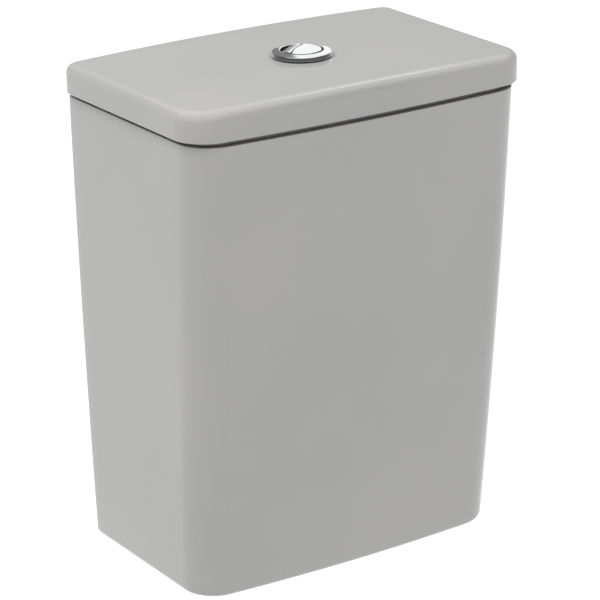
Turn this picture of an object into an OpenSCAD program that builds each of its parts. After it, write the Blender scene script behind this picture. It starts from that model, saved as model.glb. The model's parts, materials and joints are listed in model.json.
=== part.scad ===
// Close-coupled toilet cistern: china tank and lid, two-part push button, flush valve and fill valve.
// Millimetres. +Z is up, the front faces -Y, and the wall is at +Y.
// The origin is on the flush outlet's axis at the tank's underside, midway between the coupling bolts.

/* [Tank] */
// Height of the tank from its underside to its rim
tank_h = 378.5; // [340:0.5:420]
// How far each side of the tank stands in under the lid's edge
tank_inset = 4.3; // [2:0.1:6]
// How much each side leans in from the rim to the base
tank_taper_side = 8; // [2:0.1:16]
// How much the front leans in from the rim to the base
tank_taper_front = 27.5; // [10:0.1:32]
// How much the sides and front belly out at mid height
tank_belly = 1.2; // [0:0.1:4]
// How much the front bows out between its corners
tank_bow = 6.1; // [1:0.1:10]
// Radius of the front upright corners
tank_corner_r = 27.5; // [20:0.5:40]
// Radius of the rear upright corners
tank_rear_r = 6; // [3:0.5:16]
// Radius of the edge round the base
tank_base_r = 7.6; // [3:0.2:11]
// Thickness of the china walls
tank_wall = 9; // [7:0.5:11]
// Thickness of the china floor
tank_floor = 12; // [9:0.5:16]
// Distance from the flush outlet's axis to the wall face
outlet_to_wall = 106; // [98:0.5:112]
// Distance between the two wall fixing holes
wall_hole_spacing = 150; // [80:1:220]
// Diameter of a wall fixing hole
wall_hole_d = 8; // [5:0.5:10]
// Distance of the wall fixing holes below the rim
wall_hole_drop = 48; // [30:1:90]

/* [Lid] */
// Width of the lid
lid_w = 310; // [290:1:350]
// Depth of the lid from the wall face to its front corners
lid_d = 194.5; // [186:0.5:208]
// Height of the lid's edge at its ends
lid_h = 23.3; // [21:0.1:34]
// Rise of the lid's middle over its ends
lid_crown = 3; // [1:0.1:7]
// How much the lid's front bows out between its corners
lid_bow = 6.6; // [1:0.1:10]
// Radius of the front corners seen from above
lid_corner_r = 26; // [16:1:36]
// Radius of the rear corners seen from above
lid_rear_r = 12; // [9:0.5:18]
// Radius of the edge round the top
lid_edge_r = 7.6; // [3:0.2:8.6]
// Width of the gap between the tank's rim and the lid
lid_gap = 1.8; // [1:0.1:4]
// Width of the lid's rim, which lies over the tank's rim
lid_rim = 13; // [11:0.5:18]
// Thickness of the china at the lid's ends
lid_top_t = 9; // [7:0.5:11]
// Depth of a locating lug below the lid's rim
lug_depth = 9; // [4:0.5:16]
// Width of a locating lug
lug_w = 26; // [12:1:40]
// Thickness of a locating lug
lug_t = 6; // [4:0.5:9]
// Gap between a locating lug and the inside of the tank
lug_clear = 3; // [1.5:0.5:6]
// Distance between the two locating lugs on each long side
lug_spacing = 155; // [100:1:190]
// Length of a rubber buffer under the lid
buffer_l = 22; // [10:1:40]
// Width of a rubber buffer under the lid
buffer_w = 6; // [3:0.5:8]

/* [Button] */
// Diameter of the bezel
bezel_d = 48; // [45:0.5:60]
// Height of the bezel above its seat
bezel_h = 5.7; // [3.6:0.1:7]
// How far the bezel's top falls from its lip to its outer edge
bezel_fall = 1.1; // [0:0.1:1.5]
// Diameter of the round pair of buttons
button_d = 31.2; // [31:0.2:34]
// Gap between the buttons and the housing's bore
button_clear = 1.2; // [0.3:0.05:1.4]
// Travel of a button
button_travel = 7; // [5:0.25:8]
// How far the button tops lie below the bezel's top, negative where they stand above it
button_sink = -0.4; // [-1:0.1:2]
// Thickness of a button's top
button_top_t = 2.6; // [1.6:0.1:4]
// Depth of a button's skirt below its top face
button_skirt = 12; // [6:0.5:14]
// Thickness of a button's skirt
button_wall = 1.6; // [1:0.1:2.4]
// Radius of the arc that parts the two buttons
split_r = 60; // [40:1:120]
// Distance of the arc's middle from the button's axis
split_offset = 5.5; // [4:0.1:6]
// Gap between the two buttons
split_gap = 0.6; // [0.4:0.1:1]
// Direction of the small button from the button's axis
split_angle = 128; // [120:1:150]
// Wall of the housing
housing_wall = 1.8; // [1.2:0.1:2.4]
// Depth of the housing below the bezel's seat
housing_depth = 40; // [36:0.5:46]
// Thickness of the housing's floor
housing_floor = 3; // [2:0.5:5]
// Gap between the housing and the hole in the lid
lid_hole_clear = 1.4; // [0.8:0.1:2]
// Height of the nut that clamps the housing under the lid
clamp_nut_h = 8; // [5:0.5:9]
// Diameter of a push rod
rod_d = 5; // [4:0.1:5.2]
// Distance of each push rod from the button's axis
rod_circle_r = 11; // [10.5:0.1:11.4]
// Direction of the push rods off the lid's long axis
rod_angle = 35; // [32:1:40]
// Diameter of a button's stem
stem_d = 7; // [6.6:0.1:7.4]
// Length of a button's stem below its top
stem_l = 16; // [12:0.5:17]
// Wire of a return spring
spring_wire = 0.9; // [0.6:0.1:1.1]
// Mean diameter of a return spring
spring_d = 8.6; // [7.8:0.1:9.4]
// Turns of a return spring
spring_turns = 7; // [5:1:9]

/* [Levers] */
// Depth of the lever pivots below the bezel's seat
pivot_drop = 86; // [80:1:110]
// Length of a lever from its pivot to the push rod
lever_in = 15; // [14:0.25:17]
// Length of a lever from its pivot to the lifting hook
lever_out = 19; // [17:0.25:20]
// Width of a lever
lever_w = 5.6; // [4:0.1:5.8]
// Thickness of a lever's arm
lever_t = 4.2; // [3:0.1:5]
// Radius of a lever's hub
lever_hub_r = 4.6; // [4:0.1:5.2]
// Radius of the pad under a push rod
pad_r = 3; // [2.2:0.1:3.4]
// Radius of the tip under a lifting hook
tip_r = 2.5; // [1.8:0.1:3]
// Diameter of a lever pin
lever_pin_d = 4; // [3:0.1:5]
// Running clearance of a lever on its pin, at the radius
pin_clear = 0.05; // [0.02:0.01:0.1]
// Gap left at rest where one moving piece pushes another
contact_gap = 0.35; // [0.2:0.05:0.6]
// Gap on each side of a lever and of a lifting hook
side_gap = 0.4; // [0.2:0.05:0.6]

/* [Flush valve] */
// Bore of the outlet
outlet_bore_d = 50; // [46:0.5:51]
// Diameter of the outlet's thread, a G2 tail
outlet_thread_d = 59.6; // [58:0.1:60]
// Diameter of the plain spigot at the tail's end
spigot_d = 58.6; // [56:0.1:58.8]
// Depth of the tail below the tank's underside
tail_drop = 17; // [15:0.5:40]
// Length of the plain spigot
spigot_l = 6; // [4:0.5:6.5]
// Gap between the tail and the hole in the tank
outlet_hole_clear = 2.4; // [1:0.1:3]
// Diameter of the outlet's flange and of its seal
flange_d = 90; // [84:1:100]
// Thickness of the outlet's flange
flange_t = 4; // [3:0.5:6]
// Thickness of the seals and washers on the floor
floor_seal_t = 3; // [2:0.25:5]
// Height of the valve seat above the flange
seat_h = 15; // [12:0.5:22]
// Diameter of the neck under the seat
neck_d = 64; // [60:0.5:65]
// Height of the back nut under the tank
back_nut_h = 9; // [7:0.5:10]
// Diameter of the back nut across its corners
back_nut_d = 71; // [68:0.5:74]
// Thickness of the coupling ring that seals on the pan
ring_wall = 6.5; // [4:0.5:16]
// Height of the coupling ring
ring_h = 11; // [9:0.5:13]
// Diameter of the overflow tube
tube_d = 36; // [34:0.5:37]
// Wall of the overflow tube
tube_wall = 2; // [1.5:0.1:3]
// Sliding gap round the overflow tube
slide_gap = 0.4; // [0.3:0.05:0.6]
// Diameter of the flush seal
seal_d = 60; // [56:0.5:63]
// Thickness of the flush seal
seal_t = 3; // [2:0.25:5]
// Thickness of the carrier above the flush seal
carrier_t = 4; // [3:0.5:6]
// Height of the nut that holds the flush seal
retainer_h = 5; // [3:0.5:7]
// Wall of the nut that holds the flush seal
retainer_wall = 4; // [3:0.25:4.5]
// Height of the half-flush windows above the tank's underside
half_level = 150; // [120:1:180]
// Height of a half-flush window
window_h = 6; // [4:0.5:7]
// Width of a half-flush window
window_w = 16; // [8:0.5:20]
// Wall of the half-flush sleeve
sleeve_wall = 3.6; // [3:0.1:4.2]
// Length of the half-flush sleeve above and below its windows together
sleeve_lap = 13; // [11:0.5:24]
// Radial thickness of a lifting hook's arm
hook_t = 3.5; // [2.5:0.1:4]
// Height of a lifting hook's collar and of its finger
hook_h = 8; // [6:0.5:12]
// Thickness of a tower post
post_t = 5; // [4:0.25:7]
// Width of a tower post
post_w = 8; // [6:0.5:11]
// Height of a tower's guide ring
guide_h = 8; // [5:0.5:12]
// Thickness of the tower head's frame
head_t = 5; // [4:0.5:7]
// Width of the tower head's ring
head_ring_w = 6.5; // [5:0.25:9]

/* [Fill valve] */
// Distance of the inlet's axis from the inside of the tank's right wall at the base
inlet_to_side = 33; // [30:0.5:38]
// Distance of the inlet's axis behind the outlet's axis
inlet_y = 20; // [10:1:34]
// Diameter of the inlet's thread, a G1/2 tail
inlet_thread_d = 20.96; // [20:0.01:22]
// Bore of the inlet
inlet_bore_d = 12; // [9:0.25:13]
// Depth of the inlet tail below the tank's underside
inlet_drop = 32; // [24:0.5:44]
// Length of the inlet's free thread below its nut
inlet_free_l = 22; // [12:0.5:22.5]
// Diameter of the inlet's flange and washer
inlet_flange_d = 34; // [30:0.5:36]
// Height of the inlet's back nut
inlet_nut_h = 9; // [6:0.5:9.5]
// Diameter of the inlet's back nut across its corners
inlet_nut_d = 32; // [28:0.5:36]
// Length of the inlet filter
filter_l = 16; // [8:0.5:22]
// Diameter of the riser pipe
riser_d = 22; // [20:0.5:23]
// Wall of the riser pipe
riser_wall = 3; // [2:0.25:4]
// Depth of the fill valve's head below the lever pivots
fill_head_drop = 60; // [52:1:70]
// Diameter of the fill valve's head
fill_head_d = 31; // [29:0.5:33]
// Height of the fill valve's head
fill_head_h = 26; // [20:0.5:30]
// Height of the head's cap
cap_h = 12; // [9:0.5:15]
// Wall of the head's cap round the diaphragm
cap_wall = 3; // [2:0.25:4]
// Thickness of the diaphragm
diaphragm_t = 2.4; // [1.5:0.1:3]
// Distance of the silencer tube behind the riser
silencer_y = 37; // [35:0.5:42]
// Diameter of the silencer tube
silencer_d = 14; // [11:0.5:15]
// Wall of the silencer tube
silencer_wall = 1.5; // [1:0.1:2.5]
// Height of the silencer tube's lower end above the floor
silencer_end = 32; // [15:1:60]
// Diameter of the float
float_d = 52; // [46:0.5:56]
// Height of the float
float_h = 46; // [34:0.5:60]
// Wall of the float
float_wall = 1.6; // [1:0.1:2.4]
// Gap between the float and the riser pipe
float_gap = 1.6; // [0.8:0.1:2]
// Travel of the float
float_travel = 12; // [8:0.25:14]
// Length of the float arm from its pivot to the adjusting rod
arm_l = 33; // [32:0.25:36]
// Width of the float arm
arm_w = 10; // [8:0.25:11]
// Thickness of the float arm
arm_t = 4; // [3:0.25:5]
// Diameter of the float arm's pin
arm_pin_d = 3; // [2.4:0.1:3.6]
// Diameter of the adjusting rod
adjust_rod_d = 4.4; // [3.4:0.1:5]
// Diameter of a nut on the adjusting rod
adjust_nut_d = 9; // [8:0.25:10]
// Height of a nut on the adjusting rod
adjust_nut_h = 3; // [2:0.25:5]

/* [Coupling bolts] */
// Distance between the two coupling bolts
bolt_spacing = 140; // [124:1:150]
// Diameter of a coupling bolt
bolt_d = 8; // [6:0.5:8.5]
// Depth of a coupling bolt below the tank's underside
bolt_drop = 30; // [20:1:70]
// Diameter of a bolt's hole in the tank
bolt_hole_d = 11.4; // [10.5:0.1:13]
// Diameter of a bolt's head
bolt_head_d = 16; // [13:0.5:20]
// Height of a bolt's head
bolt_head_h = 5; // [3:0.5:8]
// Diameter of the washers under a bolt's head
bolt_washer_d = 26; // [20:0.5:28]
// Thickness of the steel washer under a bolt's head
bolt_plate_t = 1.5; // [1:0.1:3]

/* [Hidden] */
$fn = 64;

// Steps round the china outlines
front_steps = 12;
corner_steps = 8;
rear_steps = 4;
edge_steps = 5;
side_steps = 8;
crown_steps = 3;

// Sides of the spring wire and steps in one turn
wire_sides = 6;
turn_steps = 10;

// Small sizes that several pieces share
bare = 0.05;
cut = 1;
rim_chamfer = 1;
least_r = 1.5;
spot_depth = 0.3;
spot_clear = 0.5;

// Heights of the china
lid_low = tank_h + lid_gap;
lid_top = lid_low + lid_h + lid_crown;
lid_ceiling = lid_low + lid_h - lid_top_t;

// Wall face and the tank's mouth
wall_y = outlet_to_wall;
// The front leans in no further than leaves room for the outlet's flange on the floor
outlet_clear = 1;
least_base_d = outlet_to_wall + flange_d / 2 + outlet_clear + tank_base_r / 2 + tank_wall - tank_bow;
front_lean = min(tank_taper_front, lid_d - least_base_d);
mouth_w = lid_w - 2 * tank_inset;
base_w = mouth_w - 2 * tank_taper_side;
base_inner_half = base_w / 2 - tank_wall;

// Button stack
bezel_r = bezel_d / 2;
button_r = button_d / 2;
housing_in_r = button_r + button_clear;
housing_r = housing_in_r + housing_wall;
lid_hole_r = housing_r + lid_hole_clear;
spot_r = bezel_r + spot_clear;
bezel_z = lid_top - lid_crown * pow(2 * spot_r / lid_w, 2) - spot_depth;
button_z = bezel_z + bezel_h - button_sink;
housing_low = bezel_z - housing_depth;
housing_floor_z = housing_low + housing_floor;
collar_t = 1.6;
collar_inset = 2.4;
collar_r = bezel_r - collar_inset;
bezel_edge_r = 1.3;
bezel_lip_r = 0.8;
clamp_nut_wall = 5;
clamp_nut_lobes = 6;
clamp_lobe_w = 5;
clamp_lobe_out = 4;
rod_r = rod_d / 2;
stem_low = button_z - stem_l;
stem_socket = 9;
rod_x = rod_circle_r * cos(rod_angle);
rod_y = rod_circle_r * sin(rod_angle);

// Levers, turned half their swing back at rest
lever_swing = button_travel / lever_in * 180 / PI;
lift = button_travel * lever_out / lever_in;
pivot_x = lever_in - rod_x;
pivot_z = bezel_z - pivot_drop;
pad_z = pivot_z + lever_in * sin(lever_swing / 2);
tip_z = pivot_z - lever_out * sin(lever_swing / 2);
tip_x = pivot_x + lever_out;
rod_low = pad_z + pad_r + contact_gap;
hook_low = tip_z + tip_r + contact_gap;
hook_clear = 1;
hook_in_x = tip_x + tip_r + hook_clear;
hook_out_x = hook_in_x + hook_t;
hook_w = lever_w - 2 * bare;
hook_finger_t = 4;
hook_collar_wall = 3;

// Flush valve heights
flange_z = tank_floor + floor_seal_t;
flange_top = flange_z + flange_t;
seat_z = flange_top + seat_h;
seal_z = seat_z + contact_gap;
carrier_z = seal_z + seal_t;
tube_low = seal_z - retainer_h;
tube_r = tube_d / 2;
tube_in_r = tube_r - tube_wall;
carrier_inset = 1;
carrier_r = seal_d / 2 - carrier_inset;
neck_r = neck_d / 2;
head_drop = 14;
head_z = pivot_z - head_drop;
tube_clear = 4;
tube_top = head_z - lift - tube_clear;
tube_collar_drop = 22;
tube_collar_z = tube_top - tube_collar_drop;
low_guide_rise = 24;
low_guide_z = carrier_z + carrier_t + lift + low_guide_rise;
high_guide_drop = 60;
high_guide_z = tube_top - high_guide_drop;
guide_wall = 4;
guide_r = tube_r + guide_wall;
guide_web_w = 4;
sleeve_in_r = tube_r + slide_gap;
sleeve_r = sleeve_in_r + sleeve_wall;
sleeve_under = 3;
sleeve_low = half_level - sleeve_under;
sleeve_h = window_h + sleeve_lap;
sleeve_collar_rise = 5;
sleeve_collar_z = sleeve_low + sleeve_collar_rise;
sleeve_groove_h = 2.4;
sleeve_groove_t = 1.3;
sleeve_foot = 0.4;
sleeve_brim = 1.2;
hook_reach_r = sqrt(pow(hook_out_x, 2) + pow(rod_y + lever_w / 2, 2));
hook_room = 1.2;
head_in_r = hook_reach_r + hook_room;
head_r = head_in_r + head_ring_w;
post_lap = 1;
neck_room = 1.5;
seal_room = 2;
post_in_r = max(neck_r + neck_room, head_in_r - post_lap, seal_d / 2 + seal_room);
post_out_r = post_in_r + post_t;
ring_clip_h = 10;
cheek_t = 2.6;
cheek_in_y = rod_y - lever_w / 2 - side_gap;
cheek_out_y = rod_y + lever_w / 2 + side_gap;
boss_margin = 0.6;
boss_r = lever_hub_r + boss_margin;
lever_pin_r = lever_pin_d / 2;
pin_web = 1;
pin_hole_l = cheek_out_y + cheek_t - pin_web;

// Fill valve heights
inlet_x = base_inner_half - inlet_to_side;
inlet_thread_r = inlet_thread_d / 2;
inlet_shank_step = 0.6;
inlet_shank_r = inlet_thread_r + inlet_shank_step;
inlet_collar_h = 12;
inlet_collar_wall = 3;
inlet_hole_clear = 1;
riser_r = riser_d / 2;
riser_low = flange_top;
fill_head_z = pivot_z - fill_head_drop;
fill_head_r = fill_head_d / 2;
cap_lip = 1;
cap_r = fill_head_r + cap_lip;
cap_z = fill_head_z + fill_head_h;
cap_top = cap_z + cap_h;
arm_rise = 8;
arm_z = cap_top + arm_rise;
arm_swing = float_travel / arm_l * 180 / PI;
arm_tip_z = arm_z - arm_l * sin(arm_swing / 2);
arm_tip_r = 2.4;
arm_hub_wall = 1.6;
arm_hub_r = arm_t / 2 + arm_hub_wall;
arm_pin_r = arm_pin_d / 2;
ear_t = 2.6;
ear_in_y = arm_w / 2 + side_gap;
float_r = float_d / 2;
float_in_r = riser_r + float_gap;
float_head_gap = 10;
float_top = fill_head_z - float_travel - float_head_gap;
float_low = float_top - float_h;
float_stop_h = 4;
float_stop_lip = 2;
float_ear_w = 10;
float_ear_h = 8;
float_ear_end = 5;
float_ear_root = 2;
adjust_rod_r = adjust_rod_d / 2;
adjust_rod_foot = 6;
adjust_rod_low = float_top - float_ear_h - adjust_rod_foot;
adjust_rod_head = 16;
adjust_rod_top = arm_tip_z + adjust_rod_head;
nozzle_h = 14;
nozzle_wall = 1.6;
nozzle_roof = 3;
nozzle_bore_step = 1;
silencer_r = silencer_d / 2;
nozzle_r = silencer_r + nozzle_wall;
silencer_top = fill_head_z + nozzle_h - nozzle_roof;
silencer_low = tank_floor + silencer_end;

// Coupling bolts
bolt_r = bolt_d / 2;
bolt_neck_step = 0.25;
bolt_neck_r = bolt_r + bolt_neck_step;
bolt_neck_z = 0.5;
bolt_seat_z = tank_floor + floor_seal_t + bolt_plate_t;
bolt_washer_r = bolt_washer_d / 2;

// Points along an arc
function arc_points(cx, cy, r, a0, a1, n) =
    [for (i = [0:n]) let (a = a0 + (a1 - a0) * i / n) [cx + r * cos(a), cy + r * sin(a)]];

// A point of an outline, moved forward where the front bows out
function bowed(p, w, d, y_wall, bow) =
    [p[0], p[1] - bow * (y_wall - p[1]) / d * (1 - pow(2 * p[0] / w, 2))];

// Outline of the china seen from above, anticlockwise, with its back on the line y_wall
function plan(w, d, r_front, r_rear, bow, y_wall) =
    let (
        half = w / 2,
        y_front = y_wall - d,
        straight = concat(
            [for (i = [1:front_steps - 1])
                [-half + r_front + (w - 2 * r_front) * i / front_steps, y_front]],
            arc_points(half - r_front, y_front + r_front, r_front, -90, 0, corner_steps),
            arc_points(half - r_rear, y_wall - r_rear, r_rear, 0, 90, rear_steps),
            arc_points(-half + r_rear, y_wall - r_rear, r_rear, 90, 180, rear_steps),
            arc_points(-half + r_front, y_front + r_front, r_front, 180, 270, corner_steps)
        )
    )
    [for (p = straight) bowed(p, w, d, y_wall, bow)];

// An outline lifted to one height
function raised(outline, z) = [for (p = outline) [p[0], p[1], z]];

// Share of the way down from the rim to the foot of the straight sides
function lean(z) = 1 - (z - tank_base_r) / (tank_h - tank_base_r);
function belly(s) = tank_belly * 4 * s * (1 - s);
function tank_w_at(s) = mouth_w - 2 * tank_taper_side * s + 2 * belly(s);
function tank_d_at(s) = lid_d - front_lean * s + belly(s);

// Tank outline at one height, drawn in by an inset all round
function tank_plan(z, inset) =
    let (s = lean(max(z, tank_base_r)))
    plan(tank_w_at(s) - 2 * inset, tank_d_at(s) - 2 * inset,
        tank_corner_r - inset, max(tank_rear_r - inset, least_r), tank_bow, wall_y - inset);

// Lid outline drawn in by an inset all round
function lid_plan(inset) =
    plan(lid_w - 2 * inset, lid_d - 2 * inset,
        lid_corner_r - inset, max(lid_rear_r - inset, least_r), lid_bow, wall_y - inset);
function crown_at(x) = lid_crown * (1 - pow(2 * x / lid_w, 2));
function crowned(outline, z) = [for (p = outline) [p[0], p[1], z + crown_at(p[0])]];
function drawn_to(outline, c, share) = [for (p = outline) c + (p - c) * share];

// Closed skin over a stack of rings, with flat ends or with the last ring drawn to a point
module loft(rings, apex = undef) {
    n = len(rings[0]);
    m = len(rings);
    last = (m - 1) * n;
    skin = [
        for (k = [0:m - 2], i = [0:n - 1])
            let (a = k * n + i, b = k * n + (i + 1) % n)
            each [[a, a + n, b + n], [a, b + n, b]]
    ];
    flat_top = [[for (i = [n - 1:-1:0]) last + i]];
    point_top = [for (i = [0:n - 1]) [last + i, m * n, last + (i + 1) % n]];
    polyhedron(
        points = concat([for (ring = rings) each ring], is_undef(apex) ? [] : [apex]),
        faces = concat([[for (i = [0:n - 1]) i]], skin, is_undef(apex) ? flat_top : point_top),
        convexity = 8
    );
}

module tube(r_out, r_in, h) {
    difference() {
        cylinder(r = r_out, h = h);
        translate([0, 0, -cut]) cylinder(r = r_in, h = h + 2 * cut);
    }
}

// A flat profile in X and Z, given a width along Y
module across(w) {
    rotate([90, 0, 0]) linear_extrude(w, center = true) children();
}

module at_bolts() {
    for (side = [-1, 1]) translate([side * bolt_spacing / 2, 0, 0]) children();
}

module at_inlet() {
    translate([inlet_x, inlet_y, 0]) children();
}

// The half-flush pieces are the full-flush pieces turned half round
module other_side() {
    rotate([0, 0, 180]) children();
}

module tank_skin() {
    base = [
        for (i = [edge_steps:-1:1])
            let (a = 90 * i / edge_steps)
            raised(tank_plan(0, tank_base_r * (1 - cos(a))), tank_base_r * (1 - sin(a)))
    ];
    sides = [
        for (i = [0:side_steps])
            let (z = tank_base_r + (tank_h - rim_chamfer - tank_base_r) * i / side_steps)
            raised(tank_plan(z, 0), z)
    ];
    loft(concat(base, sides, [raised(tank_plan(tank_h, rim_chamfer), tank_h)]));
}

module tank_hollow() {
    cove = [
        for (i = [edge_steps:-1:1])
            let (a = 90 * i / edge_steps, z = tank_floor + tank_base_r * (1 - sin(a)))
            raised(tank_plan(z, tank_wall + tank_base_r * (1 - cos(a)) / 2), z)
    ];
    top = tank_h + cut;
    foot = tank_floor + tank_base_r;
    sides = [
        for (i = [0:side_steps])
            let (z = foot + (top - foot) * i / side_steps)
            raised(tank_plan(z, tank_wall), z)
    ];
    loft(concat(cove, sides));
}

module tank() {
    color("#b9b9b5") difference() {
        tank_skin();
        tank_hollow();
        translate([0, 0, -cut])
            cylinder(r = outlet_thread_d / 2 + outlet_hole_clear, h = tank_floor + 2 * cut);
        at_bolts() translate([0, 0, -cut]) cylinder(d = bolt_hole_d, h = tank_floor + 2 * cut);
        at_inlet() translate([0, 0, -cut])
            cylinder(r = inlet_shank_r + inlet_hole_clear, h = tank_floor + 2 * cut);
        for (side = [-1, 1])
            translate([side * wall_hole_spacing / 2, wall_y - tank_wall - cut, tank_h - wall_hole_drop])
                rotate([-90, 0, 0]) cylinder(d = wall_hole_d, h = tank_wall + 2 * cut);
    }
}

module lid_skin() {
    foot = [raised(lid_plan(rim_chamfer), lid_low), raised(lid_plan(0), lid_low + rim_chamfer)];
    edge_z = lid_low + lid_h - lid_edge_r;
    edge = [
        for (i = [0:edge_steps])
            let (a = 90 * i / edge_steps)
            crowned(lid_plan(lid_edge_r * (1 - cos(a))), edge_z + lid_edge_r * sin(a))
    ];
    middle = [0, wall_y - lid_d / 2];
    crown = [
        for (i = [1:crown_steps])
            crowned(drawn_to(lid_plan(lid_edge_r), middle, 1 - i / (crown_steps + 1)), lid_low + lid_h)
    ];
    loft(concat(foot, edge, crown), [middle[0], middle[1], lid_top]);
}

// Locating lugs stand inside the tank's mouth, two at the front and two at the back
module lid_lugs() {
    lug_inset = tank_wall + lug_clear;
    front_y = wall_y - lid_d + lug_inset;
    rear_y = wall_y - lug_inset - lug_t;
    for (side = [-1, 1], y = [front_y, rear_y])
        translate([side * lug_spacing / 2 - lug_w / 2, y, lid_low - lug_depth])
            cube([lug_w, lug_t, lid_ceiling + cut - lid_low + lug_depth]);
}

module lid() {
    color("#c0c0bc") difference() {
        union() {
            difference() {
                lid_skin();
                translate([0, 0, lid_low - cut])
                    linear_extrude(lid_ceiling - lid_low + cut) polygon(lid_plan(lid_rim));
            }
            lid_lugs();
        }
        translate([0, 0, lid_low]) cylinder(r = lid_hole_r, h = lid_h + lid_crown + cut);
        translate([0, 0, bezel_z]) cylinder(r = spot_r, h = lid_crown + cut);
    }
}

// Rubber pads that carry the lid on the tank's rim
module lid_buffers() {
    pad_y = wall_y - lid_d / 2;
    pad_x = mouth_w / 2 - tank_wall / 2;
    rear_y = wall_y - tank_wall / 2;
    color("#3a3a3a") {
        for (side = [-1, 1])
            translate([side * pad_x - buffer_w / 2, pad_y - buffer_l / 2, tank_h])
                cube([buffer_w, buffer_l, lid_gap]);
        for (side = [-1, 1])
            translate([side * lug_spacing / 2 - buffer_l / 2, rear_y - buffer_w / 2, tank_h])
                cube([buffer_l, buffer_w, lid_gap]);
    }
}

module button_bezel() {
    lip_in = housing_in_r;
    edge_z = bezel_h - bezel_fall - bezel_edge_r;
    color("#d5d6d8") translate([0, 0, bezel_z]) rotate_extrude()
        polygon(concat(
            [[collar_r + bare, 0], [bezel_r, 0]],
            arc_points(bezel_r - bezel_edge_r, edge_z, bezel_edge_r, 0, 90, edge_steps),
            arc_points(lip_in + bezel_lip_r, bezel_h - bezel_lip_r, bezel_lip_r, 90, 180, edge_steps),
            [[lip_in, collar_t + bare], [collar_r + bare, collar_t + bare]]
        ));
}

module button_housing() {
    color("#e6e6e2") difference() {
        union() {
            translate([0, 0, housing_low]) cylinder(r = housing_r, h = housing_depth);
            translate([0, 0, bezel_z]) cylinder(r = collar_r, h = collar_t);
        }
        translate([0, 0, housing_floor_z]) cylinder(r = housing_in_r, h = housing_depth + collar_t);
        for (side = [-1, 1])
            translate([side * rod_x, -side * rod_y, housing_low - cut])
                cylinder(r = rod_r + slide_gap, h = housing_floor + 2 * cut);
    }
}

module button_nut() {
    nut_r = housing_r + clamp_nut_wall;
    lobe_x = nut_r - clamp_nut_wall / 2;
    color("#e6e6e2") translate([0, 0, lid_ceiling - clamp_nut_h]) difference() {
        union() {
            cylinder(r = nut_r, h = clamp_nut_h);
            for (i = [0:clamp_nut_lobes - 1])
                rotate([0, 0, 360 / clamp_nut_lobes * i]) translate([lobe_x, -clamp_lobe_w / 2, 0])
                    cube([nut_r + clamp_lobe_out - lobe_x, clamp_lobe_w, clamp_nut_h]);
        }
        translate([0, 0, -cut]) cylinder(r = housing_r + bare, h = clamp_nut_h + 2 * cut);
    }
}

// The upright wall along which the two buttons are parted
module split_wall(r, h) {
    rotate([0, 0, split_angle]) translate([split_offset - split_r, 0, 0]) cylinder(r = r, h = h);
}

// Stem with a socket for the push rod
module button_stem(x, y) {
    translate([x, y, stem_low]) cylinder(d = stem_d, h = stem_l - button_top_t / 2);
}

module rod_socket(x, y) {
    translate([x, y, stem_low - cut]) cylinder(r = rod_r + bare, h = stem_socket + cut);
}

module full_flush_button() {
    edge = split_r - split_gap / 2;
    color("#dfe0e2") difference() {
        union() {
            difference() {
                intersection() {
                    translate([0, 0, button_z - button_skirt]) cylinder(r = button_r, h = button_skirt);
                    translate([0, 0, button_z - button_skirt]) split_wall(edge, button_skirt);
                }
                intersection() {
                    translate([0, 0, button_z - button_skirt - cut])
                        cylinder(r = button_r - button_wall, h = button_skirt - button_top_t + cut);
                    translate([0, 0, button_z - button_skirt - cut])
                        split_wall(edge - button_wall, button_skirt - button_top_t + cut);
                }
            }
            button_stem(rod_x, -rod_y);
        }
        rod_socket(rod_x, -rod_y);
    }
}

module half_flush_button() {
    edge = split_r + split_gap / 2;
    color("#c9cacc") difference() {
        union() {
            difference() {
                translate([0, 0, button_z - button_skirt]) cylinder(r = button_r, h = button_skirt);
                translate([0, 0, button_z - button_skirt - cut])
                    split_wall(edge, button_skirt + 2 * cut);
                difference() {
                    translate([0, 0, button_z - button_skirt - cut])
                        cylinder(r = button_r - button_wall, h = button_skirt - button_top_t + cut);
                    translate([0, 0, button_z - button_skirt - 2 * cut])
                        split_wall(edge + button_wall, button_skirt + 2 * cut);
                }
            }
            button_stem(-rod_x, rod_y);
        }
        rod_socket(-rod_x, rod_y);
    }
}

module push_rod() {
    rod_top = stem_low + stem_socket;
    translate([rod_x, -rod_y, rod_low]) cylinder(r = rod_r, h = rod_top - rod_low);
}

module full_push_rod() {
    color("#f0f0ee") push_rod();
}

module half_push_rod() {
    color("#f0f0ee") other_side() push_rod();
}

// Points of the spring's middle line and the rings of its wire
spring_low = housing_floor_z + spring_wire / 2 + bare;
spring_high = stem_low - spring_wire / 2 - bare;
spring_pitch = (spring_high - spring_low) / spring_turns;
spring_steps = spring_turns * turn_steps;
spring_slope = atan(spring_pitch / (PI * spring_d));
function spring_point(i) =
    let (a = 360 * i / turn_steps)
    [spring_d / 2 * cos(a), spring_d / 2 * sin(a), spring_low + spring_pitch * i / turn_steps];
function spring_ring(i) =
    let (
        a = 360 * i / turn_steps,
        out = [cos(a), sin(a), 0],
        over = [sin(spring_slope) * sin(a), -sin(spring_slope) * cos(a), cos(spring_slope)]
    )
    [
        for (k = [0:wire_sides - 1])
            let (b = 360 * k / wire_sides)
            spring_point(i) + spring_wire / 2 * (cos(b) * out - sin(b) * over)
    ];
spring_gap = min([
    for (i = [0:turn_steps], k = [turn_steps / 2:3 * turn_steps / 2])
        norm(spring_point(i + k) - spring_point(i))
]) - spring_wire;
echo(spring_gap = spring_gap);

module return_spring() {
    translate([rod_x, -rod_y, 0]) loft([for (i = [0:spring_steps]) spring_ring(i)]);
}

module full_spring() {
    color("#9a9da1") return_spring();
}

module half_spring() {
    color("#9a9da1") other_side() return_spring();
}

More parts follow.
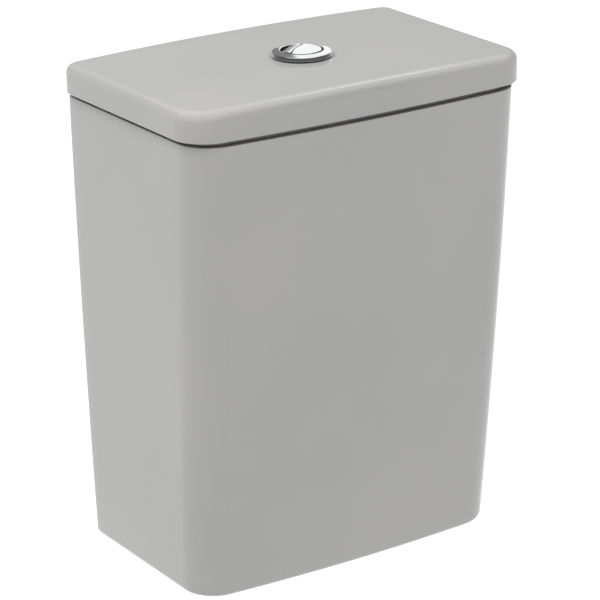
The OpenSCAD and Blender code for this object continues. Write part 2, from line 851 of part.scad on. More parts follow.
// Bar across the head that carries one end of the lever pins
module head_bar(y0, y1) {
    bar_l = 2 * (head_in_r + head_ring_w / 2);
    translate([-bar_l / 2, y0, head_z]) cube([bar_l, y1 - y0, head_t]);
}

// Upright boss round a lever pin
module pin_boss(x, y0, y1) {
    boss_h = pivot_z - head_z;
    translate([x, (y0 + y1) / 2, head_z]) across(y1 - y0) {
        translate([-boss_r, 0]) square([2 * boss_r, boss_h]);
        translate([0, boss_h]) circle(r = boss_r);
    }
}

module pin_hole() {
    translate([-pivot_x, -pin_hole_l - pin_web, pivot_z]) rotate([-90, 0, 0])
        cylinder(r = lever_pin_r + pin_clear / 2, h = pin_hole_l);
}

module tower_head() {
    color("#2f6f9f") difference() {
        union() {
            translate([0, 0, head_z]) tube(head_r, head_in_r, head_t);
            head_bar(-cheek_in_y, cheek_in_y);
            for (half = [0, 1]) rotate([0, 0, 180 * half]) {
                head_bar(-cheek_out_y - cheek_t, -cheek_out_y);
                pin_boss(-pivot_x, -cheek_out_y - cheek_t, -cheek_out_y);
                pin_boss(-pivot_x, -cheek_in_y, 0);
            }
        }
        pin_hole();
        other_side() pin_hole();
    }
}

module lever_pin() {
    translate([-pivot_x, -pin_hole_l - pin_web + bare, pivot_z]) rotate([-90, 0, 0])
        cylinder(r = lever_pin_r, h = pin_hole_l - 2 * bare);
}

module lever_pins() {
    color("#b8bcc0") {
        lever_pin();
        other_side() lever_pin();
    }
}

module lever() {
    translate([-pivot_x, -rod_y, pivot_z]) rotate([0, -lever_swing / 2, 0]) difference() {
        across(lever_w) {
            circle(r = lever_hub_r);
            translate([lever_in, 0]) circle(r = pad_r);
            translate([-lever_out, 0]) circle(r = tip_r);
            translate([-lever_out, -lever_t / 2]) square([lever_out + lever_in, lever_t]);
        }
        rotate([90, 0, 0]) cylinder(r = lever_pin_r + pin_clear, h = lever_w + 2 * cut, center = true);
    }
}

module full_lever() {
    color("#e8b23a") lever();
}

module half_lever() {
    color("#e8b23a") other_side() lever();
}

module outlet_base() {
    color("#f2f2f0") difference() {
        union() {
            translate([0, 0, -tail_drop]) cylinder(d = spigot_d, h = tail_drop);
            translate([0, 0, spigot_l - tail_drop])
                cylinder(d = outlet_thread_d, h = flange_z + tail_drop - spigot_l);
            translate([0, 0, flange_z]) cylinder(d = flange_d, h = flange_t);
            translate([0, 0, flange_z]) cylinder(r = neck_r, h = seat_z - flange_z);
        }
        translate([0, 0, -tail_drop - cut])
            cylinder(d = outlet_bore_d, h = seat_z + tail_drop + 2 * cut);
    }
}

module outlet_seal() {
    color("#303030") translate([0, 0, tank_floor])
        tube(flange_d / 2, outlet_thread_d / 2 + bare, floor_seal_t);
}

module outlet_back_nut() {
    color("#f2f2f0") translate([0, 0, -back_nut_h]) difference() {
        cylinder(d = back_nut_d, h = back_nut_h, $fn = 8);
        translate([0, 0, -cut]) cylinder(r = outlet_thread_d / 2 + bare, h = back_nut_h + 2 * cut);
    }
}

module coupling_ring() {
    ring_in_r = back_nut_d / 2 + bare;
    color("#3c3c3e") translate([0, 0, -ring_h]) tube(ring_in_r + ring_wall, ring_in_r, ring_h);
}

module tower_guide(z) {
    translate([0, 0, z]) {
        tube(guide_r, tube_r + slide_gap, guide_h);
        for (a = [45:90:315]) rotate([0, 0, a])
            translate([guide_r - cut, -guide_web_w / 2, 0])
                cube([post_in_r - guide_r + 2 * cut, guide_web_w, guide_h]);
    }
}

module valve_tower() {
    color("#f2f2f0") {
        translate([0, 0, flange_top]) tube(post_out_r, neck_r + bare, ring_clip_h);
        for (a = [45:90:315]) rotate([0, 0, a])
            translate([post_in_r, -post_w / 2, flange_top])
                cube([post_t, post_w, head_z - flange_top]);
        tower_guide(low_guide_z);
        tower_guide(high_guide_z);
    }
}

module overflow_tube() {
    color("#d9dde0") difference() {
        union() {
            translate([0, 0, tube_low]) cylinder(r = tube_r, h = tube_top - tube_low);
            translate([0, 0, carrier_z]) cylinder(r = carrier_r, h = carrier_t);
        }
        translate([0, 0, tube_low - cut]) cylinder(r = tube_in_r, h = tube_top - tube_low + 2 * cut);
        for (a = [0, 90]) rotate([0, 0, a])
            translate([-tube_d, -window_w / 2, half_level]) cube([2 * tube_d, window_w, window_h]);
    }
}

// Collar with an upright arm and a finger, which a lever's tip lifts from below
module lift_hook(collar_in_r, z) {
    translate([0, 0, z]) difference() {
        union() {
            cylinder(r = collar_in_r + hook_collar_wall, h = hook_h);
            translate([-hook_out_x, -rod_y - hook_w / 2, 0]) cube([hook_out_x, hook_w, hook_h]);
        }
        translate([0, 0, -cut]) cylinder(r = collar_in_r + bare, h = hook_h + 2 * cut);
    }
    translate([-hook_out_x, -rod_y - hook_w / 2, z])
        cube([hook_t, hook_w, hook_low + hook_finger_t - z]);
    translate([-hook_out_x, -rod_y - hook_w / 2, hook_low])
        cube([hook_out_x - tip_x + tip_r, hook_w, hook_finger_t]);
}

module full_lift_hook() {
    color("#2f6f9f") lift_hook(tube_r, tube_collar_z);
}

module flush_seal() {
    color("#a3342c") translate([0, 0, seal_z]) tube(seal_d / 2, tube_r + bare, seal_t);
}

module seal_retainer() {
    color("#d9dde0") translate([0, 0, tube_low]) tube(tube_r + retainer_wall, tube_r + bare, retainer_h);
}

// Heights of the two seal grooves in the half-flush sleeve
function groove_heights() = [sleeve_foot, sleeve_h - sleeve_groove_h - sleeve_brim];

module half_flush_sleeve() {
    color("#7fb0c8") translate([0, 0, sleeve_low]) difference() {
        cylinder(r = sleeve_r, h = sleeve_h);
        translate([0, 0, -cut]) cylinder(r = sleeve_in_r, h = sleeve_h + 2 * cut);
        for (z = groove_heights()) translate([0, 0, z])
            cylinder(r = sleeve_in_r + sleeve_groove_t, h = sleeve_groove_h);
    }
}

module sleeve_seals() {
    color("#303030") for (z = groove_heights()) translate([0, 0, sleeve_low + z + bare])
        tube(sleeve_in_r + sleeve_groove_t - bare, sleeve_in_r - bare, sleeve_groove_h - 2 * bare);
}

module half_lift_hook() {
    color("#7fb0c8") other_side() lift_hook(sleeve_r, sleeve_collar_z);
}

module inlet_tail() {
    color("#f2f2f0") at_inlet() difference() {
        union() {
            translate([0, 0, -inlet_drop]) cylinder(r = inlet_thread_r, h = inlet_free_l);
            translate([0, 0, inlet_free_l - inlet_drop])
                cylinder(r = inlet_shank_r, h = flange_z + inlet_drop - inlet_free_l);
            translate([0, 0, flange_z]) cylinder(d = inlet_flange_d, h = flange_t);
            translate([0, 0, flange_top]) cylinder(r = riser_r + inlet_collar_wall, h = inlet_collar_h);
        }
        translate([0, 0, -inlet_drop - cut])
            cylinder(d = inlet_bore_d, h = inlet_drop + flange_top + 2 * cut);
        translate([0, 0, riser_low]) cylinder(r = riser_r + bare, h = inlet_collar_h + cut);
    }
}

module inlet_filter() {
    filter_r = inlet_bore_d / 2 - bare;
    filter_wall = 0.8;
    color("#4f8f5b") at_inlet() translate([0, 0, cut - inlet_drop]) difference() {
        cylinder(r = filter_r, h = filter_l);
        translate([0, 0, -cut]) cylinder(r = filter_r - filter_wall, h = filter_l);
    }
}

module inlet_washer() {
    color("#303030") at_inlet() translate([0, 0, tank_floor])
        tube(inlet_flange_d / 2, inlet_shank_r + bare, floor_seal_t);
}

module inlet_back_nut() {
    color("#f2f2f0") at_inlet() translate([0, 0, -inlet_nut_h]) difference() {
        cylinder(d = inlet_nut_d, h = inlet_nut_h, $fn = 6);
        translate([0, 0, -cut]) cylinder(r = inlet_shank_r + bare, h = inlet_nut_h + 2 * cut);
    }
}

// Riser with the collar on which the float stops
module riser_pipe() {
    color("#f2f2f0") at_inlet() difference() {
        union() {
            translate([0, 0, riser_low]) cylinder(r = riser_r, h = fill_head_z - riser_low);
            translate([0, 0, float_low - contact_gap - float_stop_h])
                cylinder(r = float_in_r + float_stop_lip, h = float_stop_h);
        }
        translate([0, 0, riser_low - cut])
            cylinder(r = riser_r - riser_wall, h = fill_head_z - riser_low + 2 * cut);
    }
}

module valve_head() {
    bore_r = riser_r - riser_wall;
    color("#f2f2f0") at_inlet() translate([0, 0, fill_head_z]) difference() {
        union() {
            cylinder(r = fill_head_r, h = fill_head_h);
            translate([-nozzle_r, 0, 0]) cube([2 * nozzle_r, silencer_y, nozzle_h]);
            translate([0, silencer_y, 0]) cylinder(r = nozzle_r, h = nozzle_h);
        }
        translate([0, 0, -cut]) cylinder(r = bore_r, h = fill_head_h + 2 * cut);
        translate([0, silencer_y, -cut])
            cylinder(r = silencer_r + bare, h = nozzle_h - nozzle_roof + cut);
        translate([0, 0, nozzle_h / 2]) rotate([-90, 0, 0])
            cylinder(r = silencer_r - silencer_wall - nozzle_bore_step, h = silencer_y);
    }
}

// Cap with the room for the diaphragm and the ears of the float arm
module head_cap() {
    color("#2f6f9f") at_inlet() difference() {
        union() {
            translate([0, 0, cap_z]) cylinder(r = cap_r, h = cap_h);
            for (side = [-1, 1])
                translate([0, side * (ear_in_y + ear_t / 2), cap_top - cut]) across(ear_t) {
                    translate([-arm_hub_r, 0]) square([2 * arm_hub_r, arm_z - cap_top + cut]);
                    translate([0, arm_z - cap_top + cut]) circle(r = arm_hub_r);
                }
        }
        translate([0, 0, cap_z - cut]) cylinder(r = cap_r - cap_wall, h = diaphragm_t + bare + cut);
        translate([0, 0, arm_z]) rotate([90, 0, 0])
            cylinder(r = arm_pin_r + pin_clear / 2, h = 2 * (ear_in_y + ear_t + cut), center = true);
    }
}

module diaphragm() {
    color("#303030") at_inlet() translate([0, 0, cap_z])
        cylinder(r = cap_r - cap_wall - bare, h = diaphragm_t);
}

module silencer_tube() {
    color("#d9dde0") at_inlet() translate([0, silencer_y, silencer_low])
        tube(silencer_r, silencer_r - silencer_wall, silencer_top - bare - silencer_low);
}

// Arm with a fork that straddles the adjusting rod
module float_arm() {
    fork_l = 9;
    color("#f2f2f0") at_inlet() translate([0, 0, arm_z]) rotate([0, -arm_swing / 2, 0]) difference() {
        across(arm_w) {
            circle(r = arm_hub_r);
            translate([-arm_l, 0]) circle(r = arm_tip_r);
            translate([-arm_l, -arm_t / 2]) square([arm_l, arm_t]);
        }
        rotate([90, 0, 0]) cylinder(r = arm_pin_r + pin_clear, h = arm_w + 2 * cut, center = true);
        translate([-arm_l - fork_l / 2, -adjust_rod_r - slide_gap, -arm_t])
            cube([fork_l, 2 * (adjust_rod_r + slide_gap), 2 * arm_t]);
    }
}

module arm_pin() {
    color("#b8bcc0") at_inlet() translate([0, 0, arm_z]) rotate([90, 0, 0])
        cylinder(r = arm_pin_r, h = 2 * (ear_in_y + ear_t), center = true);
}

// Float open below, with an ear that carries the adjusting rod
module float_cup() {
    ear_l = arm_l + float_ear_end - float_r + float_ear_root;
    color("#e9edf0") at_inlet() difference() {
        union() {
            translate([0, 0, float_low]) cylinder(r = float_r, h = float_h);
            translate([-arm_l - float_ear_end, -float_ear_w / 2, float_top - float_ear_h])
                cube([ear_l, float_ear_w, float_ear_h]);
        }
        translate([0, 0, float_low - cut]) cylinder(r = float_in_r, h = float_h + 2 * cut);
        translate([0, 0, float_low - cut])
            tube(float_r - float_wall, float_in_r + float_wall, float_h - float_wall + cut);
        translate([-arm_l, 0, float_top - float_ear_h - cut])
            cylinder(r = adjust_rod_r + bare, h = float_ear_h + 2 * cut);
    }
}

module adjusting_rod() {
    color("#b8bcc0") at_inlet() translate([-arm_l, 0, adjust_rod_low])
        cylinder(r = adjust_rod_r, h = adjust_rod_top - adjust_rod_low);
}

// Two nuts that hold the arm's fork between them
module adjusting_nuts() {
    fork_gap = arm_tip_r + contact_gap;
    color("#e8b23a") at_inlet()
        for (z = [arm_tip_z - fork_gap - adjust_nut_h, arm_tip_z + fork_gap])
            translate([-arm_l, 0, z]) tube(adjust_nut_d / 2, adjust_rod_r + bare, adjust_nut_h);
}

module coupling_bolts() {
    color("#c9a84c") at_bolts() {
        translate([0, 0, -bolt_drop]) cylinder(r = bolt_r, h = bolt_drop + bolt_neck_z);
        translate([0, 0, bolt_neck_z]) cylinder(r = bolt_neck_r, h = bolt_seat_z - bolt_neck_z);
        translate([0, 0, bolt_seat_z]) cylinder(d = bolt_head_d, h = bolt_head_h);
    }
}

module bolt_plate_washers() {
    color("#b8bcc0") at_bolts() translate([0, 0, tank_floor + floor_seal_t])
        tube(bolt_washer_r, bolt_neck_r + bare, bolt_plate_t);
}

module bolt_rubber_washers() {
    color("#303030") at_bolts() translate([0, 0, tank_floor])
        tube(bolt_washer_r, bolt_neck_r + bare, floor_seal_t);
}

tank();
lid();
lid_buffers();
button_bezel();
button_housing();
button_nut();
full_flush_button();
half_flush_button();
full_push_rod();
half_push_rod();
full_spring();
half_spring();
tower_head();
lever_pins();
full_lever();
half_lever();
outlet_base();
outlet_seal();
outlet_back_nut();
coupling_ring();
valve_tower();
overflow_tube();
full_lift_hook();
flush_seal();
seal_retainer();
half_flush_sleeve();
sleeve_seals();
half_lift_hook();
inlet_tail();
inlet_filter();
inlet_washer();
inlet_back_nut();
riser_pipe();
valve_head();
head_cap();
diaphragm();
silencer_tube();
float_arm();
arm_pin();
float_cup();
adjusting_rod();
adjusting_nuts();
coupling_bolts();
bolt_plate_washers();
bolt_rubber_washers();
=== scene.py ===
import json
import math
import bmesh
import bpy
from mathutils import Matrix, Vector


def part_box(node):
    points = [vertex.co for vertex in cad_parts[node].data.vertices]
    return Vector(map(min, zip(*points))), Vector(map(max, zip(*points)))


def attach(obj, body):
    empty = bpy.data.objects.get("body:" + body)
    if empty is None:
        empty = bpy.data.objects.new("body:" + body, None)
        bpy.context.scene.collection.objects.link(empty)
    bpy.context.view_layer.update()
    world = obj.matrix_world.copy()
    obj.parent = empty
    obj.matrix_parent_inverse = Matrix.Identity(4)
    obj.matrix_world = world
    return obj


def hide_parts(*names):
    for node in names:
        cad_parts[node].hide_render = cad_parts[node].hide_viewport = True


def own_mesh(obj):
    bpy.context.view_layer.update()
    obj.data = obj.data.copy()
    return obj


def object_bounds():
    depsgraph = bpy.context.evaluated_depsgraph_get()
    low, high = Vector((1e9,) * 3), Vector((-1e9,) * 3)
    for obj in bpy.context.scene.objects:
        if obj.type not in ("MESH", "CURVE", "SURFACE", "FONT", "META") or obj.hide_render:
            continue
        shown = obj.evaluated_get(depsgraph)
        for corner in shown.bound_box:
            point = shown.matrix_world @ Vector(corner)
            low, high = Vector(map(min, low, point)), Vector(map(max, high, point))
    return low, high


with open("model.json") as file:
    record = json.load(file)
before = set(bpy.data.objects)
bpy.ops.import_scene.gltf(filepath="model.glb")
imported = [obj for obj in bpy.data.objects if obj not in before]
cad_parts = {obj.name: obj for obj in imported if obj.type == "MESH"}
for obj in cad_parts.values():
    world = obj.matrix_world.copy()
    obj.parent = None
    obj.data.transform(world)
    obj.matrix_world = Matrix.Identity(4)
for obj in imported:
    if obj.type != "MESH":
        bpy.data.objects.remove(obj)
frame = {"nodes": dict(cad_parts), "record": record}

scene = bpy.context.scene
scene.view_settings.view_transform = "Standard"
cadLow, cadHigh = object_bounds()
mm = 0.001
axisR = 0.01  # a section that reaches the axis stops this short of it


# a node's box in millimetres
def boxOf(node):
    low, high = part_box(node)
    return low / mm, high / mm


def middleOf(node):
    low, high = boxOf(node)
    return (low + high) / 2


# the camera stands where the photo was taken from
cameraView = {
    "target": (19.1, 38.05, 190.3),
    "distance": 2302.7,
    "azimuth": -33.13,
    "elevation": 19.74,
    "roll": -1.04,
    "focalPixels": 2826.5,
    "imagePixels": 600,
    "sensor": 36,
}


def placeCamera(view):
    azimuth = math.radians(view["azimuth"])
    elevation = math.radians(view["elevation"])
    roll = math.radians(view["roll"])
    level = math.cos(elevation)
    back = Vector((math.sin(azimuth) * level, -math.cos(azimuth) * level, math.sin(elevation)))
    flat = Vector((math.cos(azimuth), math.sin(azimuth), 0))
    upright = back.cross(flat)
    right = flat * math.cos(roll) + upright * math.sin(roll)
    up = upright * math.cos(roll) - flat * math.sin(roll)
    lens = bpy.data.cameras.new("camera")
    lens.sensor_width = view["sensor"]
    lens.lens = view["focalPixels"] / view["imagePixels"] * view["sensor"]
    camera = bpy.data.objects.new("camera", lens)
    spot = (Vector(view["target"]) + back * view["distance"]) * mm
    turn = Matrix((right, up, back)).transposed().to_4x4()
    camera.matrix_world = Matrix.Translation(spot) @ turn
    scene.collection.objects.link(camera)
    scene.camera = camera


placeCamera(cameraView)
print("camera placed")


# one shader socket; arithmetic on wires adds Math nodes
class Wire:
    def __init__(self, socket):
        self.socket = socket
        self.tree = socket.id_data

    def node(self, kind, settings=None, links=None, out=0):
        made = self.tree.nodes.new(kind)
        for name, value in (settings or {}).items():
            setattr(made, name, value)
        for name, value in (links or {}).items():
            if isinstance(value, Wire):
                self.tree.links.new(value.socket, made.inputs[name])
            else:
                made.inputs[name].default_value = value
        return Wire(made.outputs[out]) if made.outputs else None

    def math(self, operation, *values):
        return self.node("ShaderNodeMath", {"operation": operation}, dict(enumerate(values)))

    def __add__(self, other):
        return self.math("ADD", self, other)

    def __radd__(self, other):
        return self.math("ADD", other, self)

    def __sub__(self, other):
        return self.math("SUBTRACT", self, other)

    def __rsub__(self, other):
        return self.math("SUBTRACT", other, self)

    def __mul__(self, other):
        return self.math("MULTIPLY", self, other)

    def __rmul__(self, other):
        return self.math("MULTIPLY", other, self)

    def atLeast(self, other):
        return self.math("MAXIMUM", self, other)

    # 0 below low, 1 above high, smooth between
    def step(self, low, high):
        settings = {"interpolation_type": "SMOOTHSTEP"}
        return self.node("ShaderNodeMapRange", settings, {0: self, 1: low, 2: high, 3: 0.0, 4: 1.0})

    # the same about an edge in millimetres
    def past(self, edge, blur):
        return self.step((edge - blur) * mm, (edge + blur) * mm)

    # the first colour where this is 0, the second where it is 1
    def colour(self, first, second):
        return self.node("ShaderNodeMix", {"data_type": "RGBA"}, {0: self, 6: first, 7: second}, 2)

    def noise(self, scale, detail=2.0, rough=0.5):
        links = {"Vector": self, "Scale": scale, "Detail": detail, "Roughness": rough}
        return self.node("ShaderNodeTexNoise", {}, links)

    # a noise that swings about 0
    def centred(self):
        return self - 0.5

    def stretched(self, x, y, z):
        return self.node("ShaderNodeVectorMath", {"operation": "MULTIPLY"}, {0: self, 1: (x, y, z)})

    def length(self):
        return self.node("ShaderNodeVectorMath", {"operation": "LENGTH"}, {0: self}, "Value")

    def part(self, axis):
        return self.node("ShaderNodeSeparateXYZ", {}, {0: self}, axis)

    def bump(self, strength, depth):
        links = {"Strength": strength, "Distance": depth * mm, "Height": self}
        return self.node("ShaderNodeBump", {}, links)

    # how far the surface faces up, from -1 to 1
    def facingUp(self):
        return self.node("ShaderNodeNewGeometry", out="Normal").part(2)


def grey(level, warm=0.0):
    return (level * (1 + warm), level, level * (1 - warm), 1)


def newMaterial(name):
    material = bpy.data.materials.new(name)
    material.use_nodes = True
    material.node_tree.nodes.clear()
    coords = material.node_tree.nodes.new("ShaderNodeTexCoord")
    return material, Wire(coords.outputs["Object"])


def skin(place, **sockets):
    links = {name.replace("_", " "): value for name, value in sockets.items()}
    surface = place.node("ShaderNodeBsdfPrincipled", {}, links)
    place.node("ShaderNodeOutputMaterial", {}, {"Surface": surface})


# pale grey glaze over china, dry and rough where the piece stood in the kiln
# the ledge of the tank's rim, in the groove under the lid, is painted darker as shade, and is duller too
# a noise is its scale, detail and roughness, here and in the finishes below
glaze = {
    "colour": grey(0.43, 0.008),
    "pooled": grey(0.45, 0.012),
    "cloudNoise": (7, 3),
    "cloudEdge": (0.3, 0.7),
    "speck": grey(0.3, 0.02),
    "speckNoise": (900, 1),
    "speckSize": (0.24, 0.3),
    "speckStrength": 0.25,
    "dry": (0.50, 0.485, 0.455, 1),
    "dryBelow": 0.5,
    "dryBlur": 0.4,
    "dryFacing": (-0.97, -0.9),
    # painted shade: the dark grey of the rim's ledge, where the groove under the lid lies in shade
    "ledge": (0.20, 0.195, 0.185, 1),
    "ledgeDrop": 1.7,
    "ledgeShadeBand": 0.2,
    "ledgeShadeBlur": 0.1,
    "ledgeShadeFacing": (0.7, 0.9),
    "roughness": 0.11,
    "cloudRoughness": 0.05,
    "dryRoughness": 0.62,
    "refraction": 1.5,
    "rippleNoise": (22, 1),
    "ripple": 0.7,
    "peelNoise": (330, 2),
    "peel": 0.06,
    "bump": (0.25, 0.25),
}


def glazedChina(name):
    material, place = newMaterial(name)
    clouds = place.noise(*glaze["cloudNoise"])
    peel = place.noise(*glaze["peelNoise"])
    ripple = place.noise(*glaze["rippleNoise"])
    specks = 1 - place.noise(*glaze["speckNoise"]).step(*glaze["speckSize"])
    height = place.part(2)
    up = place.facingUp()
    dry = (1 - height.past(glaze["dryBelow"], glaze["dryBlur"])) * (1 - up.step(*glaze["dryFacing"]))
    # painted shade: an upward-facing band on the rim's ledge is coloured dark, and made rougher
    brow = boxOf("tank")[1].z - glaze["ledgeDrop"]
    overShadeBand = height.past(brow + glaze["ledgeShadeBand"], glaze["ledgeShadeBlur"])
    shadeBand = height.past(brow - glaze["ledgeShadeBand"], glaze["ledgeShadeBlur"]) * (1 - overShadeBand)
    ledge = shadeBand * up.step(*glaze["ledgeShadeFacing"])
    glazed = clouds.step(*glaze["cloudEdge"]).colour(glaze["colour"], glaze["pooled"])
    freckled = (specks * glaze["speckStrength"]).colour(glazed, glaze["speck"])
    rougher = glaze["dryRoughness"] - glaze["roughness"]
    uneven = clouds.centred() * glaze["cloudRoughness"]
    skin(
        place,
        Base_Color=ledge.colour(dry.colour(freckled, glaze["dry"]), glaze["ledge"]),
        Roughness=glaze["roughness"] + uneven + (dry + ledge) * rougher,
        IOR=glaze["refraction"],
        Normal=(ripple * glaze["ripple"] + peel * glaze["peel"]).bump(*glaze["bump"]),
    )
    return material


# polished plate with faint wiping marks
# the bezel's foot and the upright walls of the gap round the buttons are unplated and painted near black, as
# painted shade in the gap and along the foot's contact line
plate = {
    "bright": (0.93, 0.935, 0.94, 1),
    "smeared": (0.86, 0.87, 0.88, 1),
    "bare": grey(0.012),
    "gapR": 17.2,
    "footH": 1.4,
    "bareBlur": 0.1,
    "wallFacing": (0.2, 0.5),
    "smearNoise": (160, 4, 0.6),
    "smearEdge": (0.2, 0.8),
    "smudgeEdge": (0.35, 0.75),
    "hairNoise": (1500, 2),
    "hairStretch": 5,
    "roughness": 0.05,
    "smearRoughness": 0.05,
    "bareRoughness": 0.4,
    "bump": (0.05, 0.02),
}


def chromePlate(name):
    material, place = newMaterial(name)
    smear = place.noise(*plate["smearNoise"])
    hair = place.stretched(1, plate["hairStretch"], 1).noise(*plate["hairNoise"])
    radius = place.stretched(1, 1, 0).length()
    level = place.math("ABSOLUTE", place.facingUp())
    inside = 1 - radius.past(plate["gapR"], plate["bareBlur"])
    footTop = boxOf("button_bezel")[0].z + plate["footH"]
    foot = 1 - place.part(2).past(footTop, plate["bareBlur"])
    # painted shade: the foot and the gap's upright walls turn black and non-metallic
    bare = foot.atLeast(inside * (1 - level.step(*plate["wallFacing"])))
    plated = smear.step(*plate["smearEdge"]).colour(plate["smeared"], plate["bright"])
    smudge = smear.step(*plate["smudgeEdge"]) * plate["smearRoughness"]
    skin(
        place,
        Base_Color=bare.colour(plated, plate["bare"]),
        Metallic=1 - bare,
        Roughness=plate["roughness"] + smudge + bare * plate["bareRoughness"],
        Normal=hair.bump(*plate["bump"]),
    )
    return material


# injection-moulded plastic with a fine grain and faint flow marks
plastic = {
    "flowNoise": (45, 3),
    "flowEdge": (0.3, 0.7),
    "flowStretch": 0.35,
    "flowShade": 0.9,
    "flowRoughness": 0.1,
    "grainNoise": (1400, 2),
    "grainRoughness": 0.12,
    "bump": (0.12, 0.05),
}


def mouldedPlastic(name, colour, roughness=0.36):
    material, place = newMaterial(name)
    flow = place.stretched(1, 1, plastic["flowStretch"]).noise(*plastic["flowNoise"])
    grain = place.noise(*plastic["grainNoise"])
    darker = tuple(c * plastic["flowShade"] for c in colour[:3]) + (1,)
    uneven = grain.centred() * plastic["grainRoughness"] + flow.centred() * plastic["flowRoughness"]
    skin(
        place,
        Base_Color=flow.step(*plastic["flowEdge"]).colour(darker, colour),
        Roughness=roughness + uneven,
        Normal=grain.bump(*plastic["bump"]),
    )
    return material


# moulded rubber, with a bloom that greys it in patches
rubber = {
    "bloomNoise": (70, 4, 0.6),
    "bloomEdge": (0.4, 0.75),
    "dustEdge": (0.3, 0.8),
    "roughness": 0.62,
    "dustRoughness": 0.2,
    "grainDetail": 3,
    "grainRough": 0.65,
    "bump": 0.35,
}


def mouldedRubber(name, colour, bloom, grainScale=1100, grainDepth=0.08):
    material, place = newMaterial(name)
    dust = place.noise(*rubber["bloomNoise"])
    grain = place.noise(grainScale, rubber["grainDetail"], rubber["grainRough"])
    skin(
        place,
        Base_Color=dust.step(*rubber["bloomEdge"]).colour(colour, bloom),
        Roughness=rubber["roughness"] + dust.step(*rubber["dustEdge"]) * rubber["dustRoughness"],
        Normal=grain.bump(rubber["bump"], grainDepth),
    )
    return material


# drawn or turned metal, with tool marks that run round the piece
metal = {
    "markNoise": (2600, 2),
    "markStretch": 0.05,
    "markRoughness": 0.2,
    "tarnishNoise": (120, 3),
    "tarnishEdge": (0.45, 0.8),
    "dullEdge": (0.5, 0.8),
    "tarnishRoughness": 0.12,
    "bump": (0.15, 0.03),
}


def turnedMetal(name, colour, tarnish, roughness):
    material, place = newMaterial(name)
    stretch = metal["markStretch"]
    marks = place.stretched(stretch, stretch, 1).noise(*metal["markNoise"])
    patches = place.noise(*metal["tarnishNoise"])
    dull = patches.step(*metal["dullEdge"]) * metal["tarnishRoughness"]
    uneven = marks.centred() * metal["markRoughness"] + dull
    skin(
        place,
        Base_Color=patches.step(*metal["tarnishEdge"]).colour(colour, tarnish),
        Metallic=1.0,
        Roughness=roughness + uneven,
        Normal=marks.bump(*metal["bump"]),
    )
    return material


# fine moulded mesh of the inlet filter; its openings are painted near black as the shade seen through them
weaveShape = {
    "strand": (0.16, 0.4, 0.2, 1),
    "hole": (0.02, 0.06, 0.03, 1),
    "scale": 1100,
    "holeEdge": (0.22, 0.38),
    "roughness": 0.5,
    "holeRoughness": 0.3,
    "bump": (0.6, 0.2),
}


def filterMesh(name):
    material, place = newMaterial(name)
    links = {"Vector": place, "Scale": weaveShape["scale"]}
    weave = place.node("ShaderNodeTexVoronoi", {"distance": "CHEBYCHEV"}, links)
    # painted shade: the openings between the strands
    holes = 1 - weave.step(*weaveShape["holeEdge"])
    skin(
        place,
        Base_Color=holes.colour(weaveShape["strand"], weaveShape["hole"]),
        Roughness=weaveShape["roughness"] + holes * weaveShape["holeRoughness"],
        Normal=weave.bump(*weaveShape["bump"]),
    )
    return material


finishes = {
    "glazed_china": glazedChina("glazedChina"),
    "chrome_plate": chromePlate("chromePlate"),
    "white_plastic": mouldedPlastic("whitePlastic", (0.80, 0.80, 0.77, 1)),
    "blue_plastic": mouldedPlastic("bluePlastic", (0.03, 0.13, 0.32, 1)),
    "pale_blue_plastic": mouldedPlastic("paleBluePlastic", (0.24, 0.46, 0.60, 1)),
    "grey_plastic": mouldedPlastic("greyPlastic", (0.56, 0.60, 0.64, 1), roughness=0.3),
    "yellow_plastic": mouldedPlastic("yellowPlastic", (0.78, 0.42, 0.05, 1)),
    "black_rubber": mouldedRubber("blackRubber", (0.018, 0.018, 0.019, 1), (0.04, 0.04, 0.041, 1)),
    "foam_rubber": mouldedRubber("foamRubber", (0.022, 0.022, 0.024, 1), (0.05, 0.05, 0.052, 1),
                                 grainScale=700, grainDepth=0.3),
    "red_silicone": mouldedRubber("redSilicone", (0.33, 0.03, 0.018, 1), (0.42, 0.06, 0.04, 1)),
    "bright_steel": turnedMetal("brightSteel", (0.62, 0.63, 0.64, 1), (0.50, 0.50, 0.50, 1), roughness=0.26),
    "brass": turnedMetal("brassFinish", (0.72, 0.50, 0.20, 1), (0.46, 0.30, 0.12, 1), roughness=0.28),
    "green_plastic": filterMesh("filterMesh"),
}
slotOf = {row["node"]: row["material_slot"] for row in frame["record"]["subparts"]}
bodyOf = {node: body for body, nodes in frame["record"]["behaviour"]["bodies"].items() for node in nodes}
for node, solid in frame["nodes"].items():
    solid.data.materials.clear()
    solid.data.materials.append(finishes[slotOf[node]])
print("materials:", len(finishes))


def arcPoints(cx, cy, r, first, last, steps):
    angles = [math.radians(first + (last - first) * i / steps) for i in range(steps + 1)]
    return [(cx + r * math.cos(a), cy + r * math.sin(a)) for a in angles]


# the points between two ends, without them
def between(a, b, steps):
    return [(a[0] + (b[0] - a[0]) * i / steps, a[1] + (b[1] - a[1]) * i / steps) for i in range(1, steps)]


# evenly spread angles; an offset of 0.5 starts them half a step round
def spread(count, offset=0.0):
    return [math.tau * (i + offset) / count for i in range(count)]


# an outline whose radius changes with the angle
def waveOutline(radius, steps):
    return [(radius(a) * math.cos(a), radius(a) * math.sin(a)) for a in spread(steps)]


def circle(cx, cy, r, steps):
    return [(cx + r * math.cos(a), cy + r * math.sin(a)) for a in spread(steps)]


def turned(outline, angle):
    c, s = math.cos(angle), math.sin(angle)
    return [(u * c - v * s, u * s + v * c) for u, v in outline]


